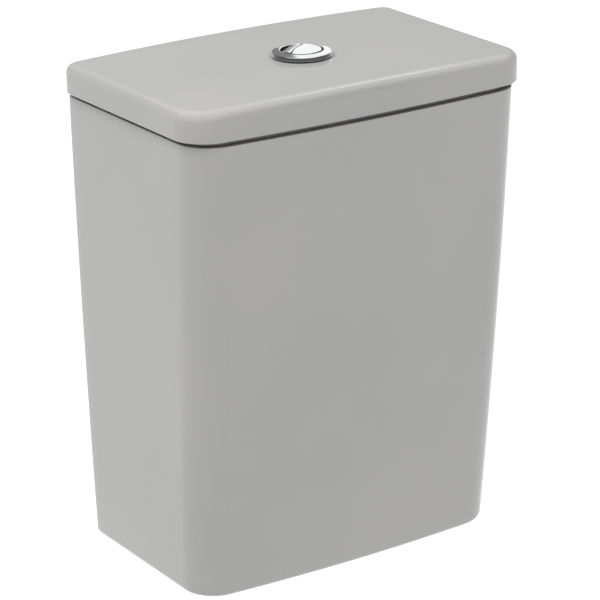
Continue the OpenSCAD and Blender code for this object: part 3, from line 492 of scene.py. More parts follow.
# a closed outline from (x, y, radius) corners, each turned into an arc
def rounded(corners, steps=5):
    outline = []
    for i, (x, y, radius) in enumerate(corners):
        here = Vector((x, y))
        before = (Vector(corners[i - 1][:2]) - here).normalized()
        after = (Vector(corners[(i + 1) % len(corners)][:2]) - here).normalized()
        if not radius:
            outline.append((x, y))
            continue
        half = before.angle(after) / 2
        centre = here + (before + after).normalized() * radius / math.sin(half)
        start = here + before * radius / math.tan(half) - centre
        end = here + after * radius / math.tan(half) - centre
        first = math.atan2(start.y, start.x)
        sweep = (math.atan2(end.y, end.x) - first + math.pi) % math.tau - math.pi
        for k in range(steps + 1):
            a = first + sweep * k / steps
            outline.append((centre.x + radius * math.cos(a), centre.y + radius * math.sin(a)))
    return outline


def blockOutline(x0, y0, x1, y1, r, steps=4):
    return rounded([(x0, y0, r), (x1, y0, r), (x1, y1, r), (x0, y1, r)], steps)


# outline of a bar with round hubs along it, given as (place, radius)
def barOutline(hubs, half, endSteps=10, runSteps=48):
    first, last = hubs[0], hubs[-1]
    bends = [math.radians(90 * i / endSteps) for i in range(endSteps + 1)]
    stops = [first[0] - first[1] * math.cos(a) for a in bends]
    stops += [first[0] + (last[0] - first[0]) * i / runSteps for i in range(1, runSteps)]
    stops += [last[0] + last[1] * math.sin(a) for a in bends]
    top = []
    for u in stops:
        tall = half if first[0] <= u <= last[0] else 0
        for place, r in hubs:
            tall = max(tall, math.sqrt(max(0, r * r - (u - place) ** 2)))
        top.append((u, tall))
    return list(reversed(top)) + [(u, -v) for u, v in top[1:-1]]


# a half-round top on straight sides that flare towards the foot
def archOutline(r, flare, tall, steps):
    return arcPoints(0, 0, r, 0, 180, steps) + [(-r - flare, -tall), (r + flare, -tall)]


# an eased edge from the side to the top, as (how far in, how far down)
def easing(r, steps):
    angles = [math.radians(90 * i / steps) for i in range(steps + 1)]
    return [(r * (1 - math.cos(a)), r * (1 - math.sin(a))) for a in angles]


# unit vectors across an outline, towards its inside
def inwardOf(points):
    count = len(points)
    alongs = [(points[(i + 1) % count] - points[i - 1]).normalized() for i in range(count)]
    return [Vector((-along.y, along.x)) for along in alongs]


# planes in which an outline is drawn before it is thickened
def flatAt(x, y):
    return lambda u, v, w: (x + u, y + v, w)


def uprightAt(x, y, z, lean=0.0, mirror=1):
    c, s = math.cos(math.radians(lean)), math.sin(math.radians(lean))
    return lambda u, v, w: (x + mirror * (u * c - v * s), y + w, z + u * s + v * c)


onAxis = flatAt(0, 0)

# fineness of what every shell shares, and the chamfer of its nuts
shellShape = {
    "easeSteps": 3,
    "holeSteps": 40,
    "hair": 0.02,
    "hairs": 9,
    "perPitch": 8,
    "nutSteps": 12,
    "chamfer": (0, 0.5, 1, 1.5, 2),
    "chamferStart": 0.985,
    "chamferSlope": 1.73,
}


# a growing mesh in millimetres
class Shell:
    def __init__(self):
        self.bm = bmesh.new()
        self.solids = 0

    def ring(self, points):
        return [self.bm.verts.new(p) for p in points]

    # quads between two rows of vertices
    def strip(self, a, b, closed=True):
        count = len(a)
        for i in range(count if closed else count - 1):
            k = (i + 1) % count
            self.bm.faces.new((a[i], a[k], b[k], b[i]))

    # quads between each row of vertices and the next
    def strips(self, rings):
        for a, b in zip(rings, rings[1:]):
            self.strip(a, b)

    def caps(self, rings):
        self.bm.faces.new(rings[0])
        self.bm.faces.new(rings[-1])

    # one flat face with holes, all given as rows of vertices
    def panel(self, outline, holes):
        edges = []
        for row in [outline] + holes:
            for i, vertex in enumerate(row):
                pair = (vertex, row[(i + 1) % len(row)])
                edges.append(self.bm.edges.get(pair) or self.bm.edges.new(pair))
        bmesh.ops.triangle_fill(self.bm, use_beauty=True, use_dissolve=False, edges=edges)

    # a closed section of (radius, height, ease) corners turned about an upright axis
    def lathe(self, corners, centre=(0, 0), steps=96, arc=5):
        self.solids += 1
        rings = []
        for r, z in rounded(corners, arc):
            rings.append(self.ring([(x, y, z) for x, y in circle(centre[0], centre[1], r, steps)]))
        self.strips(rings + rings[:1])

    def tube(self, bore, outer, low, high, ease, centre=(0, 0), steps=96):
        corners = [(bore, low, ease), (outer, low, ease), (outer, high, ease), (bore, high, ease)]
        self.lathe(corners, centre, steps)

    # rows of points closed at both ends
    def loft(self, rows):
        self.solids += 1
        rings = [self.ring(row) for row in rows]
        self.strips(rings)
        self.caps(rings)

    # a flat outline thickened between two heights, its edges eased; holes are (u, v, radius)
    # slabs after the first are a hair smaller, each by its own amount, so that no two solids share a face
    def slab(self, outline, place, low, high, ease, holes=()):
        hair = shellShape["hair"] * (1 + self.solids % shellShape["hairs"]) if self.solids else 0
        self.solids += 1
        low, high = low + hair, high - hair
        points = [Vector(p) for p in outline]
        inward = inwardOf(points)
        edge = easing(ease, shellShape["easeSteps"])
        ways = [(low + drop, hair + inset) for inset, drop in reversed(edge)]
        ways += [(high - drop, hair + inset) for inset, drop in edge]
        rings = []
        for w, inset in ways:
            row = [p + n * inset for p, n in zip(points, inward)]
            rings.append(self.ring([place(p.x, p.y, w) for p in row]))
        self.strips(rings)
        ends = []
        for u, v, r in holes:
            around = circle(u, v, r, shellShape["holeSteps"])
            ends.append([self.ring([place(x, y, w) for x, y in around]) for w in (low, high)])
            self.strip(*ends[-1])
        if not holes:
            self.caps(rings)
            return
        self.panel(rings[0], [end[0] for end in ends])
        self.panel(rings[-1], [end[1] for end in ends])

    # copies of one outline, each turned about the plane's origin
    def ribs(self, outline, angles, place, low, high, ease):
        for a in angles:
            self.slab(turned(outline, a), place, low, high, ease)

    # rows of (radius by angle, height) about an upright axis, closed by a bore or by caps
    def barrel(self, centre, rows, bore, steps):
        self.solids += 1
        rings = []
        for radius, z in rows:
            ways = [(a, radius(a)) for a in spread(steps)]
            points = [(centre[0] + r * math.cos(a), centre[1] + r * math.sin(a), z) for a, r in ways]
            rings.append(self.ring(points))
        self.strips(rings)
        if not bore:
            self.caps(rings)
            return
        around = circle(centre[0], centre[1], bore, steps)
        wall = [self.ring([(x, y, z) for x, y in around]) for z in (rows[-1][1], rows[0][1])]
        self.strips([rings[-1]] + wall + [rings[0]])

    # a screw thread that fades out over one pitch at both ends
    def thread(self, centre, r, depth, pitch, low, high, bore, steps):
        rows = []
        count = round((high - low) / pitch * shellShape["perPitch"])
        for i in range(count + 1):
            z = low + (high - low) * i / count
            fade = min(1, (z - low) / pitch, (high - z) / pitch)

            def radius(a, z=z, fade=fade):
                turn = (z / pitch - a / math.tau) % 1
                return r - depth * (1 - fade * (1 - abs(2 * turn - 1)))

            rows.append((radius, z))
        self.barrel(centre, rows, bore, steps)

    # a many-sided nut, chamfered at both faces
    def nut(self, centre, sides, cornerR, bore, low, high):
        sector = math.tau / sides
        flat = cornerR * math.cos(sector / 2)
        cuts = shellShape["chamfer"]
        rows = []
        for z in [low + d for d in cuts] + [high - d for d in reversed(cuts)]:
            limit = flat * shellShape["chamferStart"] + min(z - low, high - z) * shellShape["chamferSlope"]
            rows.append((lambda a, limit=limit: min(limit, flat / math.cos(a % sector - sector / 2)), z))
        self.barrel(centre, rows, bore, sides * shellShape["nutSteps"])

    # the piece stands for a CAD node, and rides and is finished as that node is
    def piece(self, name, node, smooth=32):
        bmesh.ops.scale(self.bm, vec=(mm, mm, mm), verts=self.bm.verts)
        bmesh.ops.recalc_face_normals(self.bm, faces=self.bm.faces)
        mesh = bpy.data.meshes.new(name)
        self.bm.to_mesh(mesh)
        self.bm.free()
        mesh.shade_smooth()
        mesh.set_sharp_from_angle(angle=math.radians(smooth))
        made = bpy.data.objects.new(name, mesh)
        mesh.materials.append(finishes[slotOf[node]])
        scene.collection.objects.link(made)
        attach(made, bodyOf[node])
        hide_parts(node)
        return made


chinaSteps = {"rear": 6, "front": 20, "side": 12, "run": 36}


# outline of the china seen from above, from the left end of its back round the front to the right end
def chinaOutline(width, depth, backY, frontR, rearR, bow, backSteps=0):
    half = width / 2
    frontY = backY - depth
    rearLeft = arcPoints(-half + rearR, backY - rearR, rearR, 90, 180, chinaSteps["rear"])
    frontLeft = arcPoints(-half + frontR, frontY + frontR, frontR, 180, 270, chinaSteps["front"])
    frontRight = arcPoints(half - frontR, frontY + frontR, frontR, 270, 360, chinaSteps["front"])
    rearRight = arcPoints(half - rearR, backY - rearR, rearR, 0, 90, chinaSteps["rear"])
    chain = rearLeft + between(rearLeft[-1], frontLeft[0], chinaSteps["side"]) + frontLeft
    chain += between(frontLeft[-1], frontRight[0], chinaSteps["run"]) + frontRight
    chain += between(frontRight[-1], rearRight[0], chinaSteps["side"]) + rearRight
    if backSteps:
        chain += between(rearRight[-1], rearLeft[0], backSteps)
    return [(x, y - bow * (backY - y) / depth * (1 - (2 * x / width) ** 2)) for x, y in chain]


# tank: leaning sides, bowed front, rounded base edge, hollow inside; a hole is its radius and number of sides
tankShape = {
    "taperSide": 8,
    "taperFront": 27.5,
    "belly": 1.2,
    "bow": 6.1,
    "cornerR": 27.5,
    "rearR": 6,
    "leastR": 1.5,
    "baseR": 7.6,
    "baseSteps": 10,
    "sideSteps": 40,
    "rimR": 0.8,
    "rimSteps": 6,
    "rimStep": glaze["ledgeDrop"],
    "rimLedge": 6.5,
    "browSteps": 3,
    "wall": 9,
    "floor": 12,
    "holeEdge": 0.8,
    "outletHole": (32.2, 72),
    "boltHole": (5.7, 32),
    "inletHole": (12.08, 40),
    "wallHole": (4, 32),
    "wallHoleSpacing": 150,
    "wallHoleDrop": 48,
}


def makeTank(shape):
    low, high = boxOf("tank")
    mouth = high.x - low.x
    depth = high.y - low.y - shape["bow"]
    top = high.z
    foot = shape["baseR"]

    def ring(z, inset):
        s = 1 - (max(z, foot) - foot) / (top - foot)
        belly = shape["belly"] * 4 * s * (1 - s)
        width = mouth - 2 * shape["taperSide"] * s + 2 * belly - 2 * inset
        deep = depth - shape["taperFront"] * s + belly - 2 * inset
        rear = max(shape["rearR"] - inset, shape["leastR"])
        plan = chinaOutline(width, deep, high.y - inset, shape["cornerR"] - inset, rear, shape["bow"])
        return [(x, y, z) for x, y in plan]

    wall, rim, floor = shape["wall"], shape["rimR"], shape["floor"]
    ledge, brow = shape["rimLedge"], top - shape["rimStep"]
    baseEdge = easing(foot, shape["baseSteps"])[1:]
    rimEdge = easing(rim, shape["rimSteps"])[1:]
    sideSteps = shape["sideSteps"]
    base = [ring(drop, inset) for inset, drop in reversed(baseEdge)]
    reach = brow - rim - foot
    outside = [ring(foot + reach * i / sideSteps, 0) for i in range(sideSteps + 1)]
    # the rim steps up behind a ledge, which leaves the groove under the lid, darkened further by painted
    # shade on the ledge
    lip = [ring(brow - drop, inset) for inset, drop in rimEdge]
    lip += [ring(brow, ledge)]
    lip += [ring(top - drop, ledge + inset) for inset, drop in easing(rim / 2, shape["browSteps"])]
    lip += [ring(top - drop, wall - inset) for inset, drop in reversed(rimEdge)]
    reach = top - rim - floor - foot
    inside = [ring(top - rim - reach * i / sideSteps, wall) for i in range(sideSteps + 1)]
    cove = [ring(floor + drop, wall + inset / 2) for inset, drop in baseEdge]
    shell = Shell()
    stacks = [[shell.ring(row) for row in stack] for stack in (base, outside, lip, inside, cove)]
    rows = [row for stack in stacks for row in stack]
    flatBack = {id(row) for stack in (stacks[1], stacks[3]) for row in stack}
    for a, b in zip(rows, rows[1:]):
        shell.strip(a, b, closed=False)
        if not (id(a) in flatBack and id(b) in flatBack):
            shell.bm.faces.new((a[-1], a[0], b[0], b[-1]))

    # holes run through in four rows, with their edges eased
    def hole(place, size, start, end):
        r, steps = size
        wide = r + shape["holeEdge"]
        ease = shape["holeEdge"] * (1 if end > start else -1)
        ways = [(start, wide), (start + ease, r), (end - ease, r), (end, wide)]
        made = [shell.ring([place(u, v, w) for u, v in circle(0, 0, radius, steps)]) for w, radius in ways]
        shell.strips(made)
        return made[0], made[-1]

    inlet = middleOf("inlet_tail")
    boltLow, boltHigh = boxOf("coupling_bolts")
    boltX = boltHigh.x - (boltHigh.y - boltLow.y) / 2
    wells = [(0, 0, shape["outletHole"]), (inlet.x, inlet.y, shape["inletHole"])]
    wells += [(side * boltX, 0, shape["boltHole"]) for side in (-1, 1)]
    floorHoles = [hole(flatAt(x, y), size, 0, floor) for x, y, size in wells]
    shell.panel(rows[0], [h[0] for h in floorHoles])
    shell.panel(rows[-1], [h[1] for h in floorHoles])
    holeZ = top - shape["wallHoleDrop"]
    backHoles = []
    for side in (-1, 1):
        plane = uprightAt(side * shape["wallHoleSpacing"] / 2, 0, holeZ)
        backHoles.append(hole(plane, shape["wallHole"], high.y, high.y - wall))
    for stack, end in ((stacks[1], 0), (stacks[3], 1)):
        edge = [row[0] for row in stack] + [row[-1] for row in reversed(stack)]
        shell.panel(edge, [h[end] for h in backHoles])
    shell.piece("china_tank", "tank")


makeTank(tankShape)
print("tank made")


# lid: crowned top that runs into a ring round the button, hollow below, with four locating lugs
lidShape = {
    "crown": 3,
    "edgeH": 23.3,
    "bow": 6.6,
    "cornerR": 26,
    "rearR": 12,
    "leastR": 1.5,
    "backSteps": 40,
    "edgeR": 7.6,
    "edgeSteps": 14,
    "footR": 1.2,
    "footSteps": 4,
    "topSteps": 26,
    "rim": 13,
    "topT": 9,
    "coveR": 4,
    "coveSteps": 6,
    "spotClear": 0.5,
    "boreR": 20,
    "lugDepth": 9,
    "lugW": 26,
    "lugT": 6,
    "lugR": 1.6,
    "lugSteps": (5, 4),
    "lugSpacing": 155,
    "lugInset": 12,
    "lugRoot": 1,
}


def makeLid(shape):
    low, high = boxOf("lid")
    width = high.x - low.x
    depth = high.y - low.y - shape["bow"]
    under = low.z + shape["lugDepth"]
    flatTop = under + shape["edgeH"]
    ceiling = flatTop - shape["topT"]
    bezelLow, bezelHigh = boxOf("button_bezel")
    rim, holeR = shape["rim"], shape["boreR"]

    def plan(inset):
        rear = max(shape["rearR"] - inset, shape["leastR"])
        return chinaOutline(width - 2 * inset, depth - 2 * inset, high.y - inset,
                            shape["cornerR"] - inset, rear, shape["bow"], shape["backSteps"])

    def level(points, z):
        return [(x, y, z) for x, y in points]

    def crowned(points, z):
        return [(x, y, z + shape["crown"] * (1 - (2 * x / width) ** 2)) for x, y in points]

    brim = plan(shape["edgeR"])
    angles = [math.atan2(y, x) for x, y in brim]

    # a circle with a point for each point of the brim
    def roundOf(r):
        return [(r * math.cos(a), r * math.sin(a)) for a in angles]

    footEdge = easing(shape["footR"], shape["footSteps"])
    topEdge = easing(shape["edgeR"], shape["edgeSteps"])
    coveEdge = easing(shape["coveR"], shape["coveSteps"])
    rows = [level(plan(inset), under + drop) for inset, drop in reversed(footEdge)]
    rows += [crowned(plan(inset), flatTop - drop) for inset, drop in topEdge]
    spot = roundOf(bezelHigh.x + shape["spotClear"])
    for i in range(1, shape["topSteps"] + 1):
        t = i / shape["topSteps"]
        points = [(p[0] + (q[0] - p[0]) * t, p[1] + (q[1] - p[1]) * t) for p, q in zip(brim, spot)]
        rows.append(crowned(points, flatTop))
    rows.append(level(spot, bezelLow.z))
    rows.append(level(roundOf(holeR), bezelLow.z))
    rows.append(level(roundOf(holeR), ceiling))
    rows += [level(plan(rim + drop), ceiling - inset) for inset, drop in coveEdge]
    rows += [level(plan(rim - inset), under + drop) for inset, drop in footEdge]
    shell = Shell()
    rings = [shell.ring(row) for row in rows]
    shell.strips(rings + rings[:1])
    halfW, halfT, r = shape["lugW"] / 2, shape["lugT"] / 2, shape["lugR"]
    cornerSteps, endSteps = shape["lugSteps"]
    frontY = high.y - depth + shape["lugInset"] + halfT
    rearY = high.y - shape["lugInset"] - halfT
    outline = blockOutline(-halfW, -halfT, halfW, halfT, r, cornerSteps)
    for x in (-shape["lugSpacing"] / 2, shape["lugSpacing"] / 2):
        for y in (frontY, rearY):
            stack = []
            for inset, drop in reversed(easing(r, endSteps)):
                shrink = 1 - inset / halfT / 2
                stack.append([(x + u * shrink, y + v * shrink, low.z + drop) for u, v in outline])
            stack.append([(x + u, y + v, ceiling + shape["lugRoot"]) for u, v in outline])
            shell.loft(stack)
    shell.piece("china_lid", "lid")


makeLid(lidShape)
print("lid made")


# bezel: a ring whose top falls away from a fine lip to a soft edge, set back a little where it meets the lid
bezelShape = {
    "boreR": 16.8,
    "lipR": 0.7,
    "edgeR": 1.0,
    "fall": 1.3,
    "collarT": 1.65,
    "collarInset": 2.35,
    "footH": plate["footH"],
    "footInset": 1.7,
    "footEase": 0.25,
    "sideLean": 0.9,
    "steps": 160,
    "arc": 10,
}


def makeBezel(shape):
    low, high = boxOf("button_bezel")
    outR, inR = high.x, shape["boreR"]
    collarR, footR = outR - shape["collarInset"], outR - shape["footInset"]
    footTop, collarTop = low.z + shape["footH"], low.z + shape["collarT"]
    section = [
        (collarR, low.z, 0),
        (footR, low.z, 0),
        (footR, footTop, 0),
        (outR, footTop, shape["footEase"]),
        (outR - shape["sideLean"], high.z - shape["fall"], shape["edgeR"]),
        (inR, high.z, shape["lipR"]),
        (inR, collarTop, 0),
        (collarR, collarTop, 0),
    ]
    shell = Shell()
    shell.lathe(section, steps=shape["steps"], arc=shape["arc"])
    shell.piece("chrome_bezel", "button_bezel")


makeBezel(bezelShape)


# buttons: one disc parted by an arc, with eased edges; the small button dips for the fingertip
buttonShape = {
    "r": 15.6,
    "splitR": 60,
    "splitOffset": 5.5,
    "splitGap": 0.6,
    "splitAngle": 128,
    "edgeR": 0.6,
    "edgeSteps": 6,
    "discSteps": 64,
    "arcSteps": 40,
    "topSteps": 16,
    "skirt": 12,
    "dome": 0.25,
    "dip": 2.2,
    "dipPower": 1.6,
    "stemR": 3.5,
    "stemL": 16,
    "stemEase": 0.5,
    "stemRoot": 3,
    "stemSteps": 32,
}


def makeButton(shape, name, node, small):
    high = boxOf(node)[1]
    rod = middleOf(node.replace("flush_button", "push_rod"))
    turn = math.radians(shape["splitAngle"])
    towards = Vector((math.cos(turn), math.sin(turn)))
    centre = towards * (shape["splitOffset"] - shape["splitR"])
    splitR = shape["splitR"] + (1 if small else -1) * shape["splitGap"] / 2
    apart = centre.length
    r = shape["r"]
    # where the disc's edge and the arc cross, measured from the split's direction
    onDisc = math.acos((splitR ** 2 - r ** 2 - apart ** 2) / (2 * r * apart))
    onArc = math.acos((splitR ** 2 + apart ** 2 - r ** 2) / (2 * splitR * apart))
    first, last = (-onDisc, onDisc) if small else (onDisc, math.tau - onDisc)
    outline = []
    for i in range(shape["discSteps"]):
        a = turn + first + (last - first) * i / shape["discSteps"]
        outline.append(Vector((r * math.cos(a), r * math.sin(a))))
    for i in range(shape["arcSteps"]):
        a = turn + (onArc if small else -onArc) * (1 - 2 * i / shape["arcSteps"])
        outline.append(centre + splitR * Vector((math.cos(a), math.sin(a))))
    middle = sum(outline, Vector((0, 0))) / len(outline)
    inward = inwardOf(outline)

    def topAt(p):
        if small:
            t = max(0, p.dot(towards) - shape["splitOffset"]) / (r - shape["splitOffset"])
            return high.z - shape["dip"] * t ** shape["dipPower"]
        return high.z - shape["dome"] * (p.length / r) ** 2

    rows = [[(p.x, p.y, high.z - shape["skirt"]) for p in outline]]
    for inset, drop in easing(shape["edgeR"], shape["edgeSteps"]):
        brim = [p + n * inset for p, n in zip(outline, inward)]
        rows.append([(p.x, p.y, topAt(p) - drop) for p in brim])
    for i in range(1, shape["topSteps"]):
        ring = [p + (middle - p) * i / shape["topSteps"] for p in brim]
        rows.append([(p.x, p.y, topAt(p)) for p in ring])
    shell = Shell()
    shell.loft(rows)
    stemR, stemLow, stemTop = shape["stemR"], high.z - shape["stemL"], high.z - shape["stemRoot"]
    stem = [
        (axisR, stemLow, 0),
        (stemR, stemLow, shape["stemEase"]),
        (stemR, stemTop, 0),
        (axisR, stemTop, 0),
    ]
    shell.lathe(stem, rod, shape["stemSteps"])
    shell.piece(name, node)


makeButton(buttonShape, "large_button", "full_flush_button", False)
makeButton(buttonShape, "small_button", "half_flush_button", True)
print("button made")


# plain turned pieces: the bore, and how far the edges are eased
turnedShapes = {
    "outlet_seal": {"bore": 29.85, "ease": 0.9},
    "coupling_ring": {"bore": 35.55, "ease": 2.4},
    "flush_seal": {"bore": 18.05, "ease": 1.1},
    "seal_retainer": {"bore": 18.05, "ease": 0.9},
    "inlet_washer": {"bore": 11.13, "ease": 0.8},
    "silencer_tube": {"bore": 5.5, "ease": 0.6},
    "diaphragm": {"bore": 0.5, "ease": 0.6},
}
for node, shape in turnedShapes.items():
    low, high = boxOf(node)
    middle = middleOf(node)
    shell = Shell()
    shell.tube(shape["bore"], high.x - middle.x, low.z, high.z, shape["ease"], middle)
    shell.piece("turned_" + node, node)
print("turned pieces:", len(turnedShapes))


# coupling bolts with slotted heads, each on a plate washer and a rubber washer
boltShape = {
    "washerBore": 4.3,
    "washerEase": {"bolt_plate_washers": 0.3, "bolt_rubber_washers": 0.7},
    "washerSteps": 64,
    "neckR": 4.25,
    "neckLow": 10,
    "neckEase": 0.3,
    "neckSteps": 48,
    "threadR": 4,
    "threadDepth": 0.62,
    "threadLap": 1,
    "threadSteps": 28,
    "pitch": 1.25,
    "slotW": 1.8,
    "slotDepth": 2.2,
    "headEase": 1.1,
    "headSteps": 28,
}


def makeBolts(shape):
    for node, ease in shape["washerEase"].items():
        low, high = boxOf(node)
        r = (high.y - low.y) / 2
        shell = Shell()
        for x in (low.x + r, high.x - r):
            shell.tube(shape["washerBore"], r, low.z, high.z, ease, (x, 0), shape["washerSteps"])
        shell.piece("pair_of_" + node, node)
    low, high = boxOf("coupling_bolts")
    headR = (high.y - low.y) / 2
    seat = boxOf("bolt_plate_washers")[1].z
    slotZ = high.z - shape["slotDepth"]
    neckR, neckLow = shape["neckR"], shape["neckLow"]
    shank = [
        (axisR, neckLow, 0),
        (neckR, neckLow, shape["neckEase"]),
        (neckR, seat, 0),
        (headR, seat, shape["neckEase"]),
        (headR, slotZ, 0),
        (axisR, slotZ, 0),
    ]
    edge = math.degrees(math.acos(shape["slotW"] / 2 / headR))
    shell = Shell()
    for x in (low.x + headR, high.x - headR):
        shell.lathe(shank, (x, 0), shape["neckSteps"])
        for half in (0, 180):
            crown = arcPoints(0, 0, headR, half - edge, half + edge, shape["headSteps"])
            shell.slab(crown, flatAt(x, 0), slotZ, high.z, shape["headEase"])
        shell.thread((x, 0), shape["threadR"], shape["threadDepth"], shape["pitch"], low.z,
                     neckLow + shape["threadLap"], 0, shape["threadSteps"])
    shell.piece("slotted_bolts", "coupling_bolts")


makeBolts(boltShape)


# outlet base: spigot, thread, flange on the floor seal, and the rounded seat of the flush seal
# a pair of eases is the lower corner's and the upper one's, here and in the pieces below
outletShape = {
    "bore": 25,
    "boreEase": (0.8, 1.8),
    "spigotR": 29.3,
    "spigotL": 6,
    "spigotEase": (1.0, 0.3),
    "threadR": 29.8,
    "threadDepth": 0.9,
    "threadSink": 0.2,
    "threadSteps": 96,
    "pitch": 2.3,
    "flangeT": 4,
    "flangeEase": (0.5, 1.2),
    "neckR": 32,
    "neckEase": (1.0, 1.4),
    "steps": 128,
    "arc": 6,
    "nutSides": 8,
    "nutBore": 29.85,
}


def makeOutlet(shape):
    low, high = boxOf("outlet_base")
    bore, spigotR, neckR = shape["bore"], shape["spigotR"], shape["neckR"]
    flangeZ = boxOf("outlet_seal")[1].z
    flangeTop = flangeZ + shape["flangeT"]
    core = shape["threadR"] - shape["threadDepth"]
    spigotTop = low.z + shape["spigotL"]
    section = [
        (bore, low.z, shape["boreEase"][0]),
        (spigotR, low.z, shape["spigotEase"][0]),
        (spigotR, spigotTop, shape["spigotEase"][1]),
        (core, spigotTop, 0),
        (core, flangeZ, 0),
        (high.x, flangeZ, shape["flangeEase"][0]),
        (high.x, flangeTop, shape["flangeEase"][1]),
        (neckR, flangeTop, shape["neckEase"][0]),
        (neckR, high.z, shape["neckEase"][1]),
        (bore, high.z, shape["boreEase"][1]),
    ]
    shell = Shell()
    shell.lathe(section, steps=shape["steps"], arc=shape["arc"])
    shell.thread((0, 0), shape["threadR"], shape["threadDepth"], shape["pitch"], spigotTop, flangeZ,
                 core - shape["threadSink"], shape["threadSteps"])
    shell.piece("outlet_with_seat", "outlet_base")
    low, high = boxOf("outlet_back_nut")
    shell = Shell()
    shell.nut((0, 0), shape["nutSides"], high.x, shape["nutBore"], low.z, high.z)
    shell.piece("outlet_nut", "outlet_back_nut")


makeOutlet(outletShape)


# fill valve's foot: threaded tail, flange, ribbed collar round the riser, and its hexagon nut
inletShape = {
    "bore": 6,
    "ease": 0.4,
    "threadR": 10.48,
    "threadDepth": 0.85,
    "threadSink": 0.2,
    "threadL": 22,
    "threadSteps": 60,
    "pitch": 1.81,
    "shankR": 11.08,
    "flangeT": 4,
    "flangeR": 17,
    "flangeEase": 1.0,
    "collarR": 14,
    "collarEase": 0.8,
    "socketR": 11.05,
    "socketEase": 0.5,
    "ribs": 10,
    "ribHalf": 0.9,
    "ribIn": 1,
    "ribOut": 0.8,
    "ribSink": 0.5,
    "ribDrop": 3,
    "nutSides": 6,
    "nutBore": 11.13,
}


def makeInlet(shape):
    low, high = boxOf("inlet_tail")
    middle = middleOf("inlet_tail")
    bore, shankR, flangeR = shape["bore"], shape["shankR"], shape["flangeR"]
    collarR, socketR, ease = shape["collarR"], shape["socketR"], shape["ease"]
    threadTop = low.z + shape["threadL"]
    flangeZ = boxOf("inlet_washer")[1].z
    flangeTop = flangeZ + shape["flangeT"]
    core = shape["threadR"] - shape["threadDepth"]
    section = [
        (bore, low.z, ease),
        (core, low.z, 0),
        (core, threadTop, 0),
        (shankR, threadTop, ease),
        (shankR, flangeZ, 0),
        (flangeR, flangeZ, ease),
        (flangeR, flangeTop, shape["flangeEase"]),
        (collarR, flangeTop, shape["collarEase"]),
        (collarR, high.z, shape["collarEase"]),
        (socketR, high.z, shape["socketEase"]),
        (socketR, flangeTop, 0),
        (bore, flangeTop, 0),
    ]
    shell = Shell()
    shell.lathe(section, middle)
    shell.thread(middle, shape["threadR"], shape["threadDepth"], shape["pitch"], low.z, threadTop,
                 core - shape["threadSink"], shape["threadSteps"])
    half = shape["ribHalf"]
    rib = blockOutline(collarR - shape["ribIn"], -half, flangeR - shape["ribOut"], half, ease)
    ribLow, ribHigh = flangeTop - shape["ribSink"], high.z - shape["ribDrop"]
    shell.ribs(rib, spread(shape["ribs"]), flatAt(middle.x, middle.y), ribLow, ribHigh, ease)
    shell.piece("threaded_inlet", "inlet_tail")
    low, high = boxOf("inlet_back_nut")
    shell = Shell()
    shell.nut(middle, shape["nutSides"], high.x - middle.x, shape["nutBore"], low.z, high.z)
    shell.piece("inlet_nut", "inlet_back_nut")


makeInlet(inletShape)
print("outlet, inlet and bolts made")


# button housing: a threaded pot under the bezel, and the lobed nut that clamps it to the lid
housingShape = {
    "wallR": 16.8,
    "wallEase": 0.3,
    "threadR": 18.6,
    "threadDepth": 0.7,
    "threadSink": 0.2,
    "threadStart": 1.5,
    "threadEnd": 1,
    "threadSteps": 80,
    "pitch": 3,
    "floorT": 3,
    "floorEase": 0.8,
    "collarT": 1.6,
    "collarEase": (0.2, 0.4),
    "steps": 112,
    "nutR": 23.6,
    "nutBore": 18.65,
    "nutEase": 0.8,
    "nutSteps": 240,
    "lobes": 6,
    "lobeW": 5,
    "lobeMargin": 1.2,
    "lobeSlope": 1.6,
}


def makeHousing(shape):
    low, high = boxOf("button_housing")
    seat = high.z - shape["collarT"]
    core = shape["threadR"] - shape["threadDepth"]
    wallR, floorTop = shape["wallR"], low.z + shape["floorT"]
    section = [
        (axisR, low.z, 0),
        (core, low.z, shape["floorEase"]),
        (core, seat, 0),
        (high.x, seat, shape["collarEase"][0]),
        (high.x, high.z, shape["collarEase"][1]),
        (wallR, high.z, shape["wallEase"]),
        (wallR, floorTop, shape["floorEase"]),
        (axisR, floorTop, 0),
    ]
    shell = Shell()
    shell.lathe(section, steps=shape["steps"])
    shell.thread((0, 0), shape["threadR"], shape["threadDepth"], shape["pitch"], low.z + shape["threadStart"],
                 seat - shape["threadEnd"], core - shape["threadSink"], shape["threadSteps"])
    shell.piece("threaded_housing", "button_housing")
    low, high = boxOf("button_nut")
    sector = math.tau / shape["lobes"]

    def lobed(a):
        off = abs((a + sector / 2) % sector - sector / 2) * high.x
        rise = min(1, max(0, (shape["lobeW"] / 2 + shape["lobeMargin"] - off) / shape["lobeSlope"]))
        return shape["nutR"] + (high.x - shape["nutR"]) * rise * rise * (3 - 2 * rise)

    outline = waveOutline(lobed, shape["nutSteps"])
    shell = Shell()
    shell.slab(outline, onAxis, low.z, high.z, shape["nutEase"], [(0, 0, shape["nutBore"])])
    shell.piece("lobed_nut", "button_nut")


makeHousing(housingShape)


# push rods with notches for cutting them to length, and return springs with closed ends
rodShape = {
    "notchStep": 6,
    "notchDepth": 0.3,
    "notchW": 0.5,
    "clearLow": 6,
    "clearHigh": 14,
    "endEase": (1.3, 0.4),
    "steps": 36,
}
springShape = {
    "wire": 0.9,
    "turns": 8.5,
    "closed": 1.2,
    "closedPitch": 1.08,
    "sides": 10,
    "perTurn": 26,
    "smooth": 60,
}


